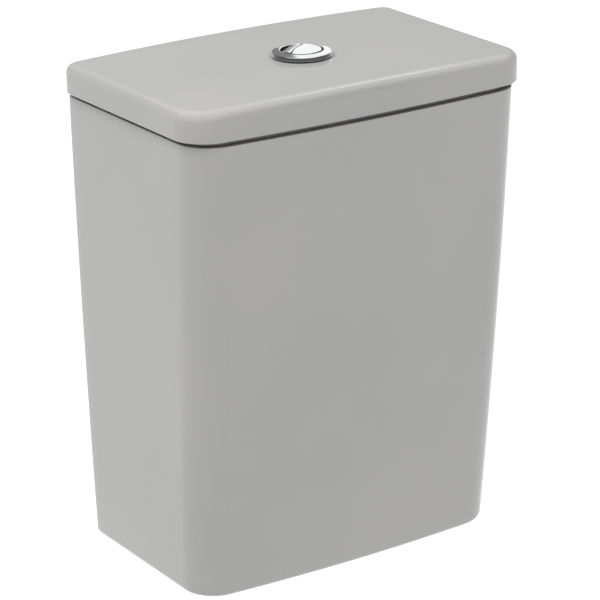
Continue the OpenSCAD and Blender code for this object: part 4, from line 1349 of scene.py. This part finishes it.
def makeRod(shape, name, node):
    low, high = boxOf(node)
    middle = middleOf(node)
    r = high.x - middle.x
    inner = r - shape["notchDepth"]
    section = [(axisR, low.z, 0), (r, low.z, shape["endEase"][0])]
    z = low.z + shape["clearLow"]
    while z < high.z - shape["clearHigh"]:
        section += [(r, z, 0), (inner, z + shape["notchW"] / 2, 0), (r, z + shape["notchW"], 0)]
        z += shape["notchStep"]
    section += [(r, high.z, shape["endEase"][1]), (axisR, high.z, 0)]
    shell = Shell()
    shell.lathe(section, middle, shape["steps"])
    shell.piece(name, node)


def makeSpring(shape, name, node, joint):
    low, high = boxOf(node)
    middle = middleOf(node)
    wire, turns, closed = shape["wire"], shape["turns"], shape["closed"]
    coilR = (high.x - low.x) / 2 - wire / 2
    start, end = low.z + wire / 2, high.z - wire / 2
    step = wire * shape["closedPitch"]
    pitch = (end - start - 2 * closed * step) / (turns - 2 * closed)
    count = round(turns * shape["perTurn"])
    bends = spread(shape["sides"])
    rows = []
    for i in range(count + 1):
        t = turns * i / count
        a = math.tau * t
        live = min(max(t - closed, 0), turns - 2 * closed)
        z = start + (t - live) * step + live * pitch
        out = Vector((math.cos(a), math.sin(a), 0))
        spot = Vector((middle.x, middle.y, z)) + out * coilR
        rows.append([spot + wire / 2 * (out * math.cos(b) + Vector((0, 0, math.sin(b)))) for b in bends])
    shell = Shell()
    shell.loft(rows)
    made = shell.piece(name, node, smooth=shape["smooth"])
    travel = next(j["range_m"][1] for j in frame["record"]["behaviour"]["joints"] if j["name"] == joint)
    length = (high.z - low.z) * mm
    1 - travel / length
    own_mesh(made)


for size in ("full", "half"):
    makeRod(rodShape, size + "_rod", size + "_push_rod")
    makeSpring(springShape, size + "_coil", size + "_spring", size + "_press")
print("housing, rods and springs made")


# where the right lever pin stands, and its radius
def leverPin():
    low, high = boxOf("lever_pins")
    r = (high.z - low.z) / 2
    return high.x - r, (low.z + high.z) / 2, r


# levers: flat rockers with a hub on the pin, a pad under the rod and a tip under the hook
leverShape = {
    "inner": 15,
    "outer": 19,
    "half": 2.1,
    "hubR": 4.6,
    "padR": 3,
    "tipR": 2.5,
    "pinHoleR": 2.05,
    "ease": 0.5,
    "lean": 13.37,
}


def makeLever(shape, name, node, mirror):
    low, high = boxOf(node)
    pinX, pinZ = leverPin()[:2]
    hubs = [(-shape["outer"], shape["tipR"]), (0, shape["hubR"]), (shape["inner"], shape["padR"])]
    outline = barOutline(hubs, shape["half"])
    plane = uprightAt(-mirror * pinX, 0, pinZ, shape["lean"], mirror)
    shell = Shell()
    shell.slab(outline, plane, low.y, high.y, shape["ease"], [(0, 0, shape["pinHoleR"])])
    shell.piece(name, node)


makeLever(leverShape, "full_rocker", "full_lever", 1)
makeLever(leverShape, "half_rocker", "half_lever", -1)


# tower head: a ring bridged by three bars, with the bosses that hold the lever pins
headShape = {
    "ringIn": 34.46,
    "ringEase": 0.9,
    "ringSteps": 128,
    "barH": 5,
    "barR": 0.4,
    "cheekIn": 3.11,
    "cheekOut": 9.51,
    "cheekT": 2.6,
    "bossR": 5.2,
    "bossFlare": 1.5,
    "bossSteps": 24,
    "ease": 0.6,
    "pinIn": 1.0,
    "pinEase": 0.4,
    "pinSteps": 32,
}


def makeHead(shape):
    low, high = boxOf("tower_head")
    pinX, pinZ, pinR = leverPin()
    pinEnd = boxOf("lever_pins")[1].y
    top = low.z + shape["barH"]
    reach = (shape["ringIn"] + high.x) / 2
    inner, cheek, ease = shape["cheekIn"], shape["cheekOut"], shape["ease"]
    outer = cheek + shape["cheekT"]
    shell = Shell()
    shell.tube(shape["ringIn"], high.x, low.z, top, shape["ringEase"], steps=shape["ringSteps"])
    for y0, y1 in ((-inner, inner), (-outer, -cheek), (cheek, outer)):
        shell.slab(blockOutline(-reach, y0, reach, y1, shape["barR"]), onAxis, low.z, top, ease)
    boss = archOutline(shape["bossR"], shape["bossFlare"], pinZ - low.z, shape["bossSteps"])
    for side in (-1, 1):
        for near, far in ((cheek, outer), (0, inner)):
            y0, y1 = sorted((side * near, side * far))
            shell.slab(boss, uprightAt(side * pinX, 0, pinZ), y0, y1, ease, [(0, 0, pinR)])
    shell.piece("lever_carrier", "tower_head")
    pin = circle(0, 0, pinR, shape["pinSteps"])
    shell = Shell()
    for side in (-1, 1):
        y0, y1 = sorted((side * shape["pinIn"], side * pinEnd))
        shell.slab(pin, uprightAt(side * pinX, 0, pinZ), y0, y1, shape["pinEase"])
    shell.piece("rocker_pins", "lever_pins")


makeHead(headShape)


# tower: a clip ring on the outlet's neck, four ribbed posts and two guides round the tube
towerShape = {
    "clipIn": 32.05,
    "clipH": 10,
    "clipEase": 0.8,
    "clipSteps": 112,
    "posts": 4,
    "postIn": 33.5,
    "postDepth": 5,
    "postT": 2,
    "postW": 8,
    "postR": 0.5,
    "postEase": 0.4,
    "ribT": 2,
    "ribR": 0.4,
    "lap": 1,
    "guideIn": 18.4,
    "guideR": 22,
    "guideH": 8,
    "guideZ": (74.2, 233.4),
    "guideEase": 0.9,
    "webW": 4,
    "webEase": 0.6,
}


def makeTower(shape):
    low, high = boxOf("valve_tower")
    postIn, half, rib, web = shape["postIn"], shape["postW"] / 2, shape["ribT"] / 2, shape["webW"] / 2
    postOut, lap = postIn + shape["postDepth"], shape["lap"]
    outlines = [blockOutline(postIn, -half, postIn + shape["postT"], half, shape["postR"])]
    for y in (rib - half, 0, half - rib):
        outlines.append(blockOutline(postIn + lap, y - rib, postOut, y + rib, shape["ribR"]))
    webOutline = blockOutline(shape["guideR"] - lap, -web, postIn + lap, web, shape["ribR"])
    clipTop = low.z + shape["clipH"]
    shell = Shell()
    shell.tube(shape["clipIn"], postOut, low.z, clipTop, shape["clipEase"], steps=shape["clipSteps"])
    for a in spread(shape["posts"], 0.5):
        for outline in outlines:
            shell.slab(turned(outline, a), onAxis, low.z, high.z, shape["postEase"])
        for z in shape["guideZ"]:
            shell.slab(turned(webOutline, a), onAxis, z, z + shape["guideH"], shape["webEase"])
    for z in shape["guideZ"]:
        shell.tube(shape["guideIn"], shape["guideR"], z, z + shape["guideH"], shape["guideEase"])
    shell.piece("ribbed_tower", "valve_tower")


makeTower(towerShape)


# lifting hooks: a collar, an arm that rises beside the tower head, and a finger over the lever's tip
hookShape = {
    "bore": {"full_lift_hook": 18.05, "half_lift_hook": 22.05},
    "collarWall": 3,
    "collarH": 8,
    "collarEase": 0.7,
    "halfW": 2.75,
    "armT": 3.5,
    "armR": 0.8,
    "footR": 0.6,
    "fingerT": 4,
    "fingerL": 9.5,
    "ease": 0.6,
}


def makeHook(shape, name, node, mirror):
    low, high = boxOf(node)
    bore = shape["bore"][node]
    armX = low.x if mirror > 0 else high.x
    lever = middleOf(node.replace("lift_hook", "lever"))
    y0, y1 = lever.y - shape["halfW"], lever.y + shape["halfW"]
    top = low.z + shape["collarH"]
    arm = (shape["armT"], shape["armR"], low.z, high.z)
    foot = (abs(armX) - bore, shape["footR"], low.z, top)
    finger = (shape["fingerL"], shape["armR"], high.z - shape["fingerT"], high.z)
    shell = Shell()
    shell.tube(bore, bore + shape["collarWall"], low.z, top, shape["collarEase"])
    for reach, r, start, end in (arm, foot, finger):
        x0, x1 = sorted((armX, armX + mirror * reach))
        shell.slab(blockOutline(x0, y0, x1, y1, r), onAxis, start, end, shape["ease"])
    shell.piece(name, node)


makeHook(hookShape, "tube_hook", "full_lift_hook", 1)
makeHook(hookShape, "sleeve_hook", "half_lift_hook", -1)


# half-flush sleeve: a short ribbed sleeve over the tube's windows, with a seal in each end
sleeveShape = {
    "bore": 18.4,
    "boreEase": 0.3,
    "brim": 1.4,
    "brimEase": 0.6,
    "brimInnerEase": 0.3,
    "coreDrop": 0.7,
    "coreEase": 0.2,
    "arc": 4,
    "ribs": 16,
    "ribHalf": 0.7,
    "ribR": 0.3,
    "ribSink": 0.6,
    "ribShort": 0.05,
    "ribClear": 0.8,
    "ribEase": 0.2,
    "sealT": 1.25,
    "sealH": 2.3,
    "sealDrop": 0.08,
    "sealEase": 0.5,
}


def makeSleeve(shape):
    low, high = boxOf("half_flush_sleeve")
    bore, core = shape["bore"], high.x - shape["coreDrop"]
    brimLow, brimHigh = low.z + shape["brim"], high.z - shape["brim"]
    section = [
        (bore, low.z, shape["boreEase"]),
        (high.x, low.z, shape["brimEase"]),
        (high.x, brimLow, shape["brimInnerEase"]),
        (core, brimLow, shape["coreEase"]),
        (core, brimHigh, shape["coreEase"]),
        (high.x, brimHigh, shape["brimInnerEase"]),
        (high.x, high.z, shape["brimEase"]),
        (bore, high.z, shape["boreEase"]),
    ]
    shell = Shell()
    shell.lathe(section, arc=shape["arc"])
    half, clear = shape["ribHalf"], shape["ribClear"]
    rib = blockOutline(core - shape["ribSink"], -half, high.x - shape["ribShort"], half, shape["ribR"])
    shell.ribs(rib, spread(shape["ribs"], 0.5), onAxis, low.z + clear, high.z - clear, shape["ribEase"])
    shell.piece("ribbed_sleeve", "half_flush_sleeve")
    low, high = boxOf("sleeve_seals")
    shell = Shell()
    for z in (low.z + shape["sealDrop"], high.z - shape["sealDrop"] - shape["sealH"]):
        shell.tube(high.x - shape["sealT"], high.x, z, z + shape["sealH"], shape["sealEase"])
    shell.piece("sleeve_seal_pair", "sleeve_seals")


makeSleeve(sleeveShape)
print("flush valve made")


# riser with guide ribs and the collar that stops the float
riserShape = {
    "bore": 8,
    "pipeR": 11,
    "endEase": 0.3,
    "stopZ": 187.85,
    "stopH": 4,
    "stopEase": 0.5,
    "leadLow": 2.4,
    "leadHigh": 0.6,
    "leadEase": 0.8,
    "steps": 80,
    "ribs": 4,
    "ribHalf": 0.8,
    "ribR": 0.3,
    "ribSink": 1,
    "ribOut": 0.5,
    "ribLow": 34,
    "ribClear": 6,
    "ribEase": 0.4,
}


def makeRiser(shape):
    low, high = boxOf("riser_pipe")
    middle = middleOf("riser_pipe")
    bore, pipeR, stopR = shape["bore"], shape["pipeR"], high.x - middle.x
    stopZ, stopTop = shape["stopZ"], shape["stopZ"] + shape["stopH"]
    section = [
        (bore, low.z, shape["endEase"]),
        (pipeR, low.z, shape["endEase"]),
        (pipeR, stopZ - shape["leadLow"], shape["leadEase"]),
        (stopR, stopZ + shape["leadHigh"], shape["stopEase"]),
        (stopR, stopTop, shape["stopEase"]),
        (pipeR, stopTop, shape["stopEase"]),
        (pipeR, high.z, shape["endEase"]),
        (bore, high.z, shape["endEase"]),
    ]
    shell = Shell()
    shell.lathe(section, middle, shape["steps"])
    half = shape["ribHalf"]
    rib = blockOutline(bore + shape["ribSink"], -half, pipeR + shape["ribOut"], half, shape["ribR"])
    plane, ribHigh = flatAt(middle.x, middle.y), stopZ - shape["ribClear"]
    shell.ribs(rib, spread(shape["ribs"], 0.5), plane, shape["ribLow"], ribHigh, shape["ribEase"])
    shell.piece("riser_with_stop", "riser_pipe")


makeRiser(riserShape)


# valve head with its side outlet, and the fluted cap whose ears carry the float arm
valveShape = {
    "coreR": 0.5,
    "headR": 15.5,
    "headEase": 1.4,
    "headSteps": 80,
    "bandH": 3,
    "bandDrop": 0.8,
    "bandEase": 0.2,
    "browEase": 0.3,
    "nozzleR": 8.6,
    "nozzleH": 14,
    "nozzleNear": 4,
    "nozzleFar": 37,
    "nozzleEase": 1.6,
    "nozzleSteps": 32,
    "capR": 16.5,
    "capH": 12,
    "capEase": 0.5,
    "capSteps": 312,
    "flutes": 26,
    "fluteDepth": 0.5,
    "flutePower": 3,
    "fluteTop": 2.5,
    "crownInset": 1.2,
    "crownLow": 4,
    "crownEase": 2.0,
    "crownArc": 8,
    "earIn": 5.4,
    "earT": 2.6,
    "earR": 3.6,
    "earFlare": 1.2,
    "earSink": 1.5,
    "earEase": 0.5,
    "earSteps": 20,
    "pinR": 1.5,
    "pinEase": 0.3,
    "pinSteps": 28,
}


def makeValve(shape):
    low, high = boxOf("valve_head")
    middle = middleOf("riser_pipe")
    plane = flatAt(middle.x, middle.y)
    coreR, headR, nozzleR = shape["coreR"], shape["headR"], shape["nozzleR"]
    bandR, bandZ = headR - shape["bandDrop"], high.z - shape["bandH"]
    section = [
        (coreR, low.z, 0),
        (headR, low.z, shape["headEase"]),
        (headR, bandZ, shape["browEase"]),
        (bandR, bandZ, shape["bandEase"]),
        (bandR, high.z, shape["bandEase"]),
        (coreR, high.z, 0),
    ]
    shell = Shell()
    shell.lathe(section, middle, shape["headSteps"])
    nozzle = arcPoints(0, shape["nozzleFar"], nozzleR, 0, 180, shape["nozzleSteps"])
    nozzle += [(-nozzleR, shape["nozzleNear"]), (nozzleR, shape["nozzleNear"])]
    shell.slab(nozzle, plane, low.z, low.z + shape["nozzleH"], shape["nozzleEase"])
    shell.piece("valve_body", "valve_head")
    low, high = boxOf("head_cap")
    capTop = low.z + shape["capH"]

    def fluted(a):
        wave = 0.5 + 0.5 * math.cos(a * shape["flutes"])
        return shape["capR"] - shape["fluteDepth"] * wave ** shape["flutePower"]

    crownR, crownZ = shape["capR"] - shape["crownInset"], capTop - shape["crownLow"]
    crown = [
        (coreR, crownZ, 0),
        (crownR, crownZ, 0),
        (crownR, capTop, shape["crownEase"]),
        (coreR, capTop, 0),
    ]
    skirt = waveOutline(fluted, shape["capSteps"])
    shell = Shell()
    shell.slab(skirt, plane, low.z, capTop - shape["fluteTop"], shape["capEase"])
    shell.lathe(crown, middle, arc=shape["crownArc"])
    pinZ, pinR = high.z - shape["earR"], shape["pinR"]
    ear = archOutline(shape["earR"], shape["earFlare"], pinZ - capTop + shape["earSink"], shape["earSteps"])
    for side in (-1, 1):
        y0, y1 = sorted((side * shape["earIn"], side * (shape["earIn"] + shape["earT"])))
        shell.slab(ear, uprightAt(middle.x, middle.y, pinZ), y0, y1, shape["earEase"], [(0, 0, pinR)])
    shell.piece("fluted_cap", "head_cap")
    low, high = boxOf("arm_pin")
    pin = circle(0, 0, pinR, shape["pinSteps"])
    shell = Shell()
    shell.slab(pin, uprightAt(middle.x, 0, pinZ), low.y, high.y, shape["pinEase"])
    shell.piece("float_arm_pin", "arm_pin")


makeValve(valveShape)


# float: a rounded cup open below, with an ear for the adjusting rod and ribs on its top
floatShape = {
    "bore": 12.6,
    "boreEase": 0.8,
    "wall": 1.6,
    "lipEase": 0.4,
    "topEase": 3.6,
    "innerEase": 1.0,
    "outerEase": 2.0,
    "steps": 112,
    "arc": 8,
    "earW": 10,
    "earH": 8,
    "earEnd": 38,
    "earSink": 3,
    "earR": 2.5,
    "earDrop": 0.3,
    "earEase": 0.8,
    "rodX": 33,
    "rodHoleR": 2.25,
    "ribs": 12,
    "ribHalf": 0.7,
    "ribEase": 0.3,
    "ribIn": 1.2,
    "ribOut": 3.5,
    "ribLow": 1.2,
    "ribHigh": 0.05,
}


def makeFloat(shape):
    low, high = boxOf("float_cup")
    middle = middleOf("riser_pipe")
    plane = flatAt(middle.x, middle.y)
    bore, wall, outer, lip = shape["bore"], shape["wall"], high.x - middle.x, shape["lipEase"]
    ceiling = high.z - wall
    section = [
        (bore, low.z, lip),
        (bore + wall, low.z, lip),
        (bore + wall, ceiling, shape["innerEase"]),
        (outer - wall, ceiling, shape["outerEase"]),
        (outer - wall, low.z, lip),
        (outer, low.z, lip),
        (outer, high.z, shape["topEase"]),
        (bore, high.z, shape["boreEase"]),
    ]
    shell = Shell()
    shell.lathe(section, middle, shape["steps"], shape["arc"])
    half = shape["earW"] / 2
    ear = blockOutline(-shape["earEnd"], -half, -outer + shape["earSink"], half, shape["earR"])
    earLow, earHigh = high.z - shape["earH"], high.z - shape["earDrop"]
    shell.slab(ear, plane, earLow, earHigh, shape["earEase"], [(-shape["rodX"], 0, shape["rodHoleR"])])
    half, ease = shape["ribHalf"], shape["ribEase"]
    rib = blockOutline(bore + shape["ribIn"], -half, outer - shape["ribOut"], half, ease)
    ribLow, ribHigh = high.z - shape["ribLow"], high.z - shape["ribHigh"]
    shell.ribs(rib, spread(shape["ribs"], 0.5), plane, ribLow, ribHigh, ease)
    shell.piece("float_bell", "float_cup")


makeFloat(floatShape)


# float arm with a fork round the threaded adjusting rod, and the two knurled nuts
armShape = {
    "length": 33,
    "half": 2,
    "hubR": 3.6,
    "tipR": 2.4,
    "pinR": 1.55,
    "lean": 10.42,
    "slot": 5.2,
    "fork": 5,
    "forkLap": 2,
    "ease": 0.5,
    "rodDepth": 0.35,
    "rodPitch": 1.4,
    "rodSteps": 20,
    "nutH": 3,
    "nutBore": 2.25,
    "nutEase": 0.4,
    "nutSteps": 160,
    "knurls": 20,
    "knurlDepth": 0.3,
}


def makeArm(shape):
    low, high = boxOf("float_arm")
    middle = middleOf("riser_pipe")
    pin = middleOf("arm_pin")
    plane = uprightAt(pin.x, 0, pin.z, shape["lean"])
    half, ease, gap = shape["half"], shape["ease"], shape["slot"] / 2
    inner = -shape["length"] + shape["fork"]
    bar = barOutline([(inner, half), (0, shape["hubR"])], half)
    prong = barOutline([(-shape["length"], shape["tipR"]), (inner + shape["forkLap"], half)], half)
    shell = Shell()
    shell.slab(bar, plane, low.y, high.y, ease, [(0, 0, shape["pinR"])])
    for y0, y1 in ((low.y, middle.y - gap), (middle.y + gap, high.y)):
        shell.slab(prong, plane, y0, y1, ease)
    shell.piece("forked_arm", "float_arm")
    low, high = boxOf("adjusting_rod")
    spot = middleOf("adjusting_rod")
    rodR, steps = high.x - spot.x, shape["rodSteps"]
    shell = Shell()
    shell.thread(spot, rodR, shape["rodDepth"], shape["rodPitch"], low.z, high.z, 0, steps)
    shell.piece("threaded_rod", "adjusting_rod")
    low, high = boxOf("adjusting_nuts")
    nutR = high.x - spot.x

    def knurled(a):
        return nutR - shape["knurlDepth"] * (0.5 + 0.5 * math.cos(a * shape["knurls"]))

    outline = waveOutline(knurled, shape["nutSteps"])
    plane = flatAt(spot.x, spot.y)
    shell = Shell()
    for z in (low.z, high.z - shape["nutH"]):
        shell.slab(outline, plane, z, z + shape["nutH"], shape["nutEase"], [(0, 0, shape["nutBore"])])
    shell.piece("knurled_nuts", "adjusting_nuts")


makeArm(armShape)
print("fill valve made")


# rubber buffers on the tank's rim
bufferShape = {"length": 22, "width": 6, "ease": 0.5, "cornerR": 2.4}


def makeBuffers(shape):
    low, high = boxOf("lid_buffers")
    longHalf, wideHalf = shape["length"] / 2, shape["width"] / 2
    lugs = lidShape["lugSpacing"] / 2
    lidLow, lidHigh = boxOf("lid")
    sideX = high.x - wideHalf
    sideY = lidHigh.y - (lidHigh.y - lidLow.y - lidShape["bow"]) / 2
    rearY = high.y - wideHalf
    pads = [(side * sideX, sideY, wideHalf, longHalf) for side in (-1, 1)]
    pads += [(side * lugs, rearY, longHalf, wideHalf) for side in (-1, 1)]
    shell = Shell()
    for x, y, halfX, halfY in pads:
        outline = blockOutline(-halfX, -halfY, halfX, halfY, shape["cornerR"])
        shell.slab(outline, flatAt(x, y), low.z, high.z, shape["ease"])
    shell.piece("rim_buffers", "lid_buffers")


makeBuffers(bufferShape)
print("buffers made")


# stage: white all round to the eye, a floor below, soft light from above at the left, the front and the right
stageLight = {
    "white": (1, 1, 1, 1),
    "ambient": 0.55,
    "floorDrop": 0.42,
    "floorSize": 6.0,
    "floorColour": grey(0.82),
    "floorGlow": 0.6,
    "edgeSize": 0.4,
    "edgePower": 1.2,
    "edgeSpot": (0.83, 0.22, 1.63),
    "sidePower": 27.5,
    "sideSpot": (-1.2, 0.2, 2.15),
    "frontPower": 13.5,
    "frontSpot": (0.3, -1.5, 1.9),
    "panelSize": 1.2,
}


# 1 for rays that should see the white background
def seen(place):
    path = place.tree.nodes.new("ShaderNodeLightPath").outputs
    rays = ("Is Camera Ray", "Is Glossy Ray", "Is Transmission Ray")
    camera, glossy, clear = (Wire(path[name]) for name in rays)
    return camera.atLeast(glossy).atLeast(clear)


def makeWorld(light):
    world = bpy.data.worlds.new("studio")
    world.use_nodes = True
    tree = world.node_tree
    tree.nodes.clear()
    start = Wire(tree.nodes.new("ShaderNodeTexCoord").outputs[0])
    glow = start.node("ShaderNodeBackground", {}, {"Color": light["white"], "Strength": 1.0})
    fill = start.node("ShaderNodeBackground", {}, {"Color": light["white"], "Strength": light["ambient"]})
    sky = start.node("ShaderNodeMixShader", {}, {0: seen(start), 1: fill, 2: glow})
    start.node("ShaderNodeOutputWorld", {}, {"Surface": sky})
    scene.world = world


# the floor is clear from below
def makeFloor(light):
    half = light["floorSize"] / 2
    mesh = bpy.data.meshes.new("floor")
    corners = [(-half, -half), (half, -half), (half, half), (-half, half)]
    mesh.from_pydata([(x, y, -light["floorDrop"]) for x, y in corners], [], [(0, 1, 2, 3)])
    floor = bpy.data.objects.new("floor", mesh)
    material, place = newMaterial("paleFloor")
    paint = place.node("ShaderNodeBsdfDiffuse", {}, {"Color": light["floorColour"]})
    lit = place.node("ShaderNodeEmission", {}, {"Color": light["white"], "Strength": light["floorGlow"]})
    both = place.node("ShaderNodeAddShader", {}, {0: paint, 1: lit})
    ground = place.node("ShaderNodeMixShader", {}, {0: seen(place), 1: paint, 2: both})
    below = place.node("ShaderNodeNewGeometry", out="Backfacing")
    clear = place.node("ShaderNodeBsdfTransparent")
    oneWay = place.node("ShaderNodeMixShader", {}, {0: below, 1: ground, 2: clear})
    place.node("ShaderNodeOutputMaterial", {}, {"Surface": oneWay})
    mesh.materials.append(material)
    scene.collection.objects.link(floor)


def lampPanel(name, size, place, aim, power, mirrored=False):
    lamp = bpy.data.lights.new(name, "AREA")
    lamp.shape = "SQUARE"
    lamp.size = size
    lamp.energy = power
    made = bpy.data.objects.new(name, lamp)
    made.visible_glossy = mirrored
    made.location = place
    made.rotation_mode = "QUATERNION"
    made.rotation_quaternion = (Vector(place) - Vector(aim)).to_track_quat("Z", "Y")
    scene.collection.objects.link(made)


def makeLamps(light):
    middle = (cadLow + cadHigh) / 2
    lampPanel("edge_panel", light["edgeSize"], light["edgeSpot"], middle, light["edgePower"], True)
    lampPanel("side_panel", light["panelSize"], light["sideSpot"], middle, light["sidePower"])
    lampPanel("front_panel", light["panelSize"], light["frontSpot"], middle, light["frontPower"])


# a tent that only the lid's top and the chrome on it mirror
# to the lid it is grey and low, to the chrome white at the back and above and dark round the rest
# where a mirrored ray starts is in millimetres above the lid's top, and the fades are in degrees
tentShape = {
    "radius": 0.3,
    "segments": (48, 24),
    "startsAbove": (0.2, 0.5),
    "startsBelow": (8, 9),
    "lidBelow": (-8, -7),
    "lidLevel": 0.45,
    "lidFade": (28, 38),
    "leftFade": (28, 31.7),
    "rightFade": (62, 80),
    "riseFade": (-1.5, 0.5),
    "topFade": (50, 65),
    "backLeft": (-60, 0),
    "backRight": (80, 120),
    "backLevel": 0.22,
    "level": 0.1,
    "crestAbove": (4.3, 4.8),
    "crestLevel": 0.35,
}


def makeTent(shape):
    lidTop = boxOf("lid")[1].z * mm
    around, upwards = shape["segments"]
    bm = bmesh.new()
    bmesh.ops.create_uvsphere(bm, u_segments=around, v_segments=upwards, radius=shape["radius"],
                              matrix=Matrix.Translation((0, 0, lidTop)))
    mesh = bpy.data.meshes.new("tent")
    bm.to_mesh(mesh)
    bm.free()
    material, place = newMaterial("tent")
    geometry = place.tree.nodes.new("ShaderNodeNewGeometry").outputs
    spot, toStart = Wire(geometry["Position"]), Wire(geometry["Incoming"])
    length = Wire(place.tree.nodes.new("ShaderNodeLightPath").outputs["Ray Length"])
    startRise = spot.part(2) + toStart.part(2) * length - lidTop
    azimuth = place.math("ARCTAN2", toStart.part(0) * -1, toStart.part(1) * -1)
    rise = place.math("ARCSINE", toStart.part(2) * -1)

    def starts(name):
        return startRise.step(*(end * mm for end in shape[name]))

    def fade(angle, name):
        return angle.step(*(math.radians(end) for end in shape[name]))

    fromChrome = starts("startsAbove") * (1 - starts("startsBelow"))
    fromLid = starts("lidBelow") * (1 - starts("startsAbove")) * (1 - fade(rise, "lidFade"))
    window = fade(azimuth, "leftFade") * (1 - fade(azimuth, "rightFade")) * fade(rise, "riseFade")
    white = window.atLeast(fade(rise, "topFade"))
    atBack = fade(azimuth, "backLeft") * (1 - fade(azimuth, "backRight"))
    crest = starts("crestAbove") * (shape["crestLevel"] - shape["level"])
    dark = shape["level"] + atBack * (shape["backLevel"] - shape["level"]) + (1 - atBack) * crest
    chrome = dark + white * (1 - dark)
    level = shape["lidLevel"] + fromChrome * (chrome - shape["lidLevel"])
    shade = place.node("ShaderNodeEmission", {}, {"Color": level, "Strength": 1.0})
    clear = place.node("ShaderNodeBsdfTransparent")
    surface = place.node("ShaderNodeMixShader", {}, {0: fromChrome + fromLid, 1: clear, 2: shade})
    place.node("ShaderNodeOutputMaterial", {}, {"Surface": surface})
    material.cycles.emission_sampling = "NONE"
    mesh.materials.append(material)
    made = bpy.data.objects.new("tent", mesh)
    made.visible_camera = False
    made.visible_diffuse = False
    made.visible_transmission = False
    made.visible_shadow = False
    scene.collection.objects.link(made)


makeWorld(stageLight)
makeFloor(stageLight)
makeLamps(stageLight)
makeTent(tentShape)
print("stage set")
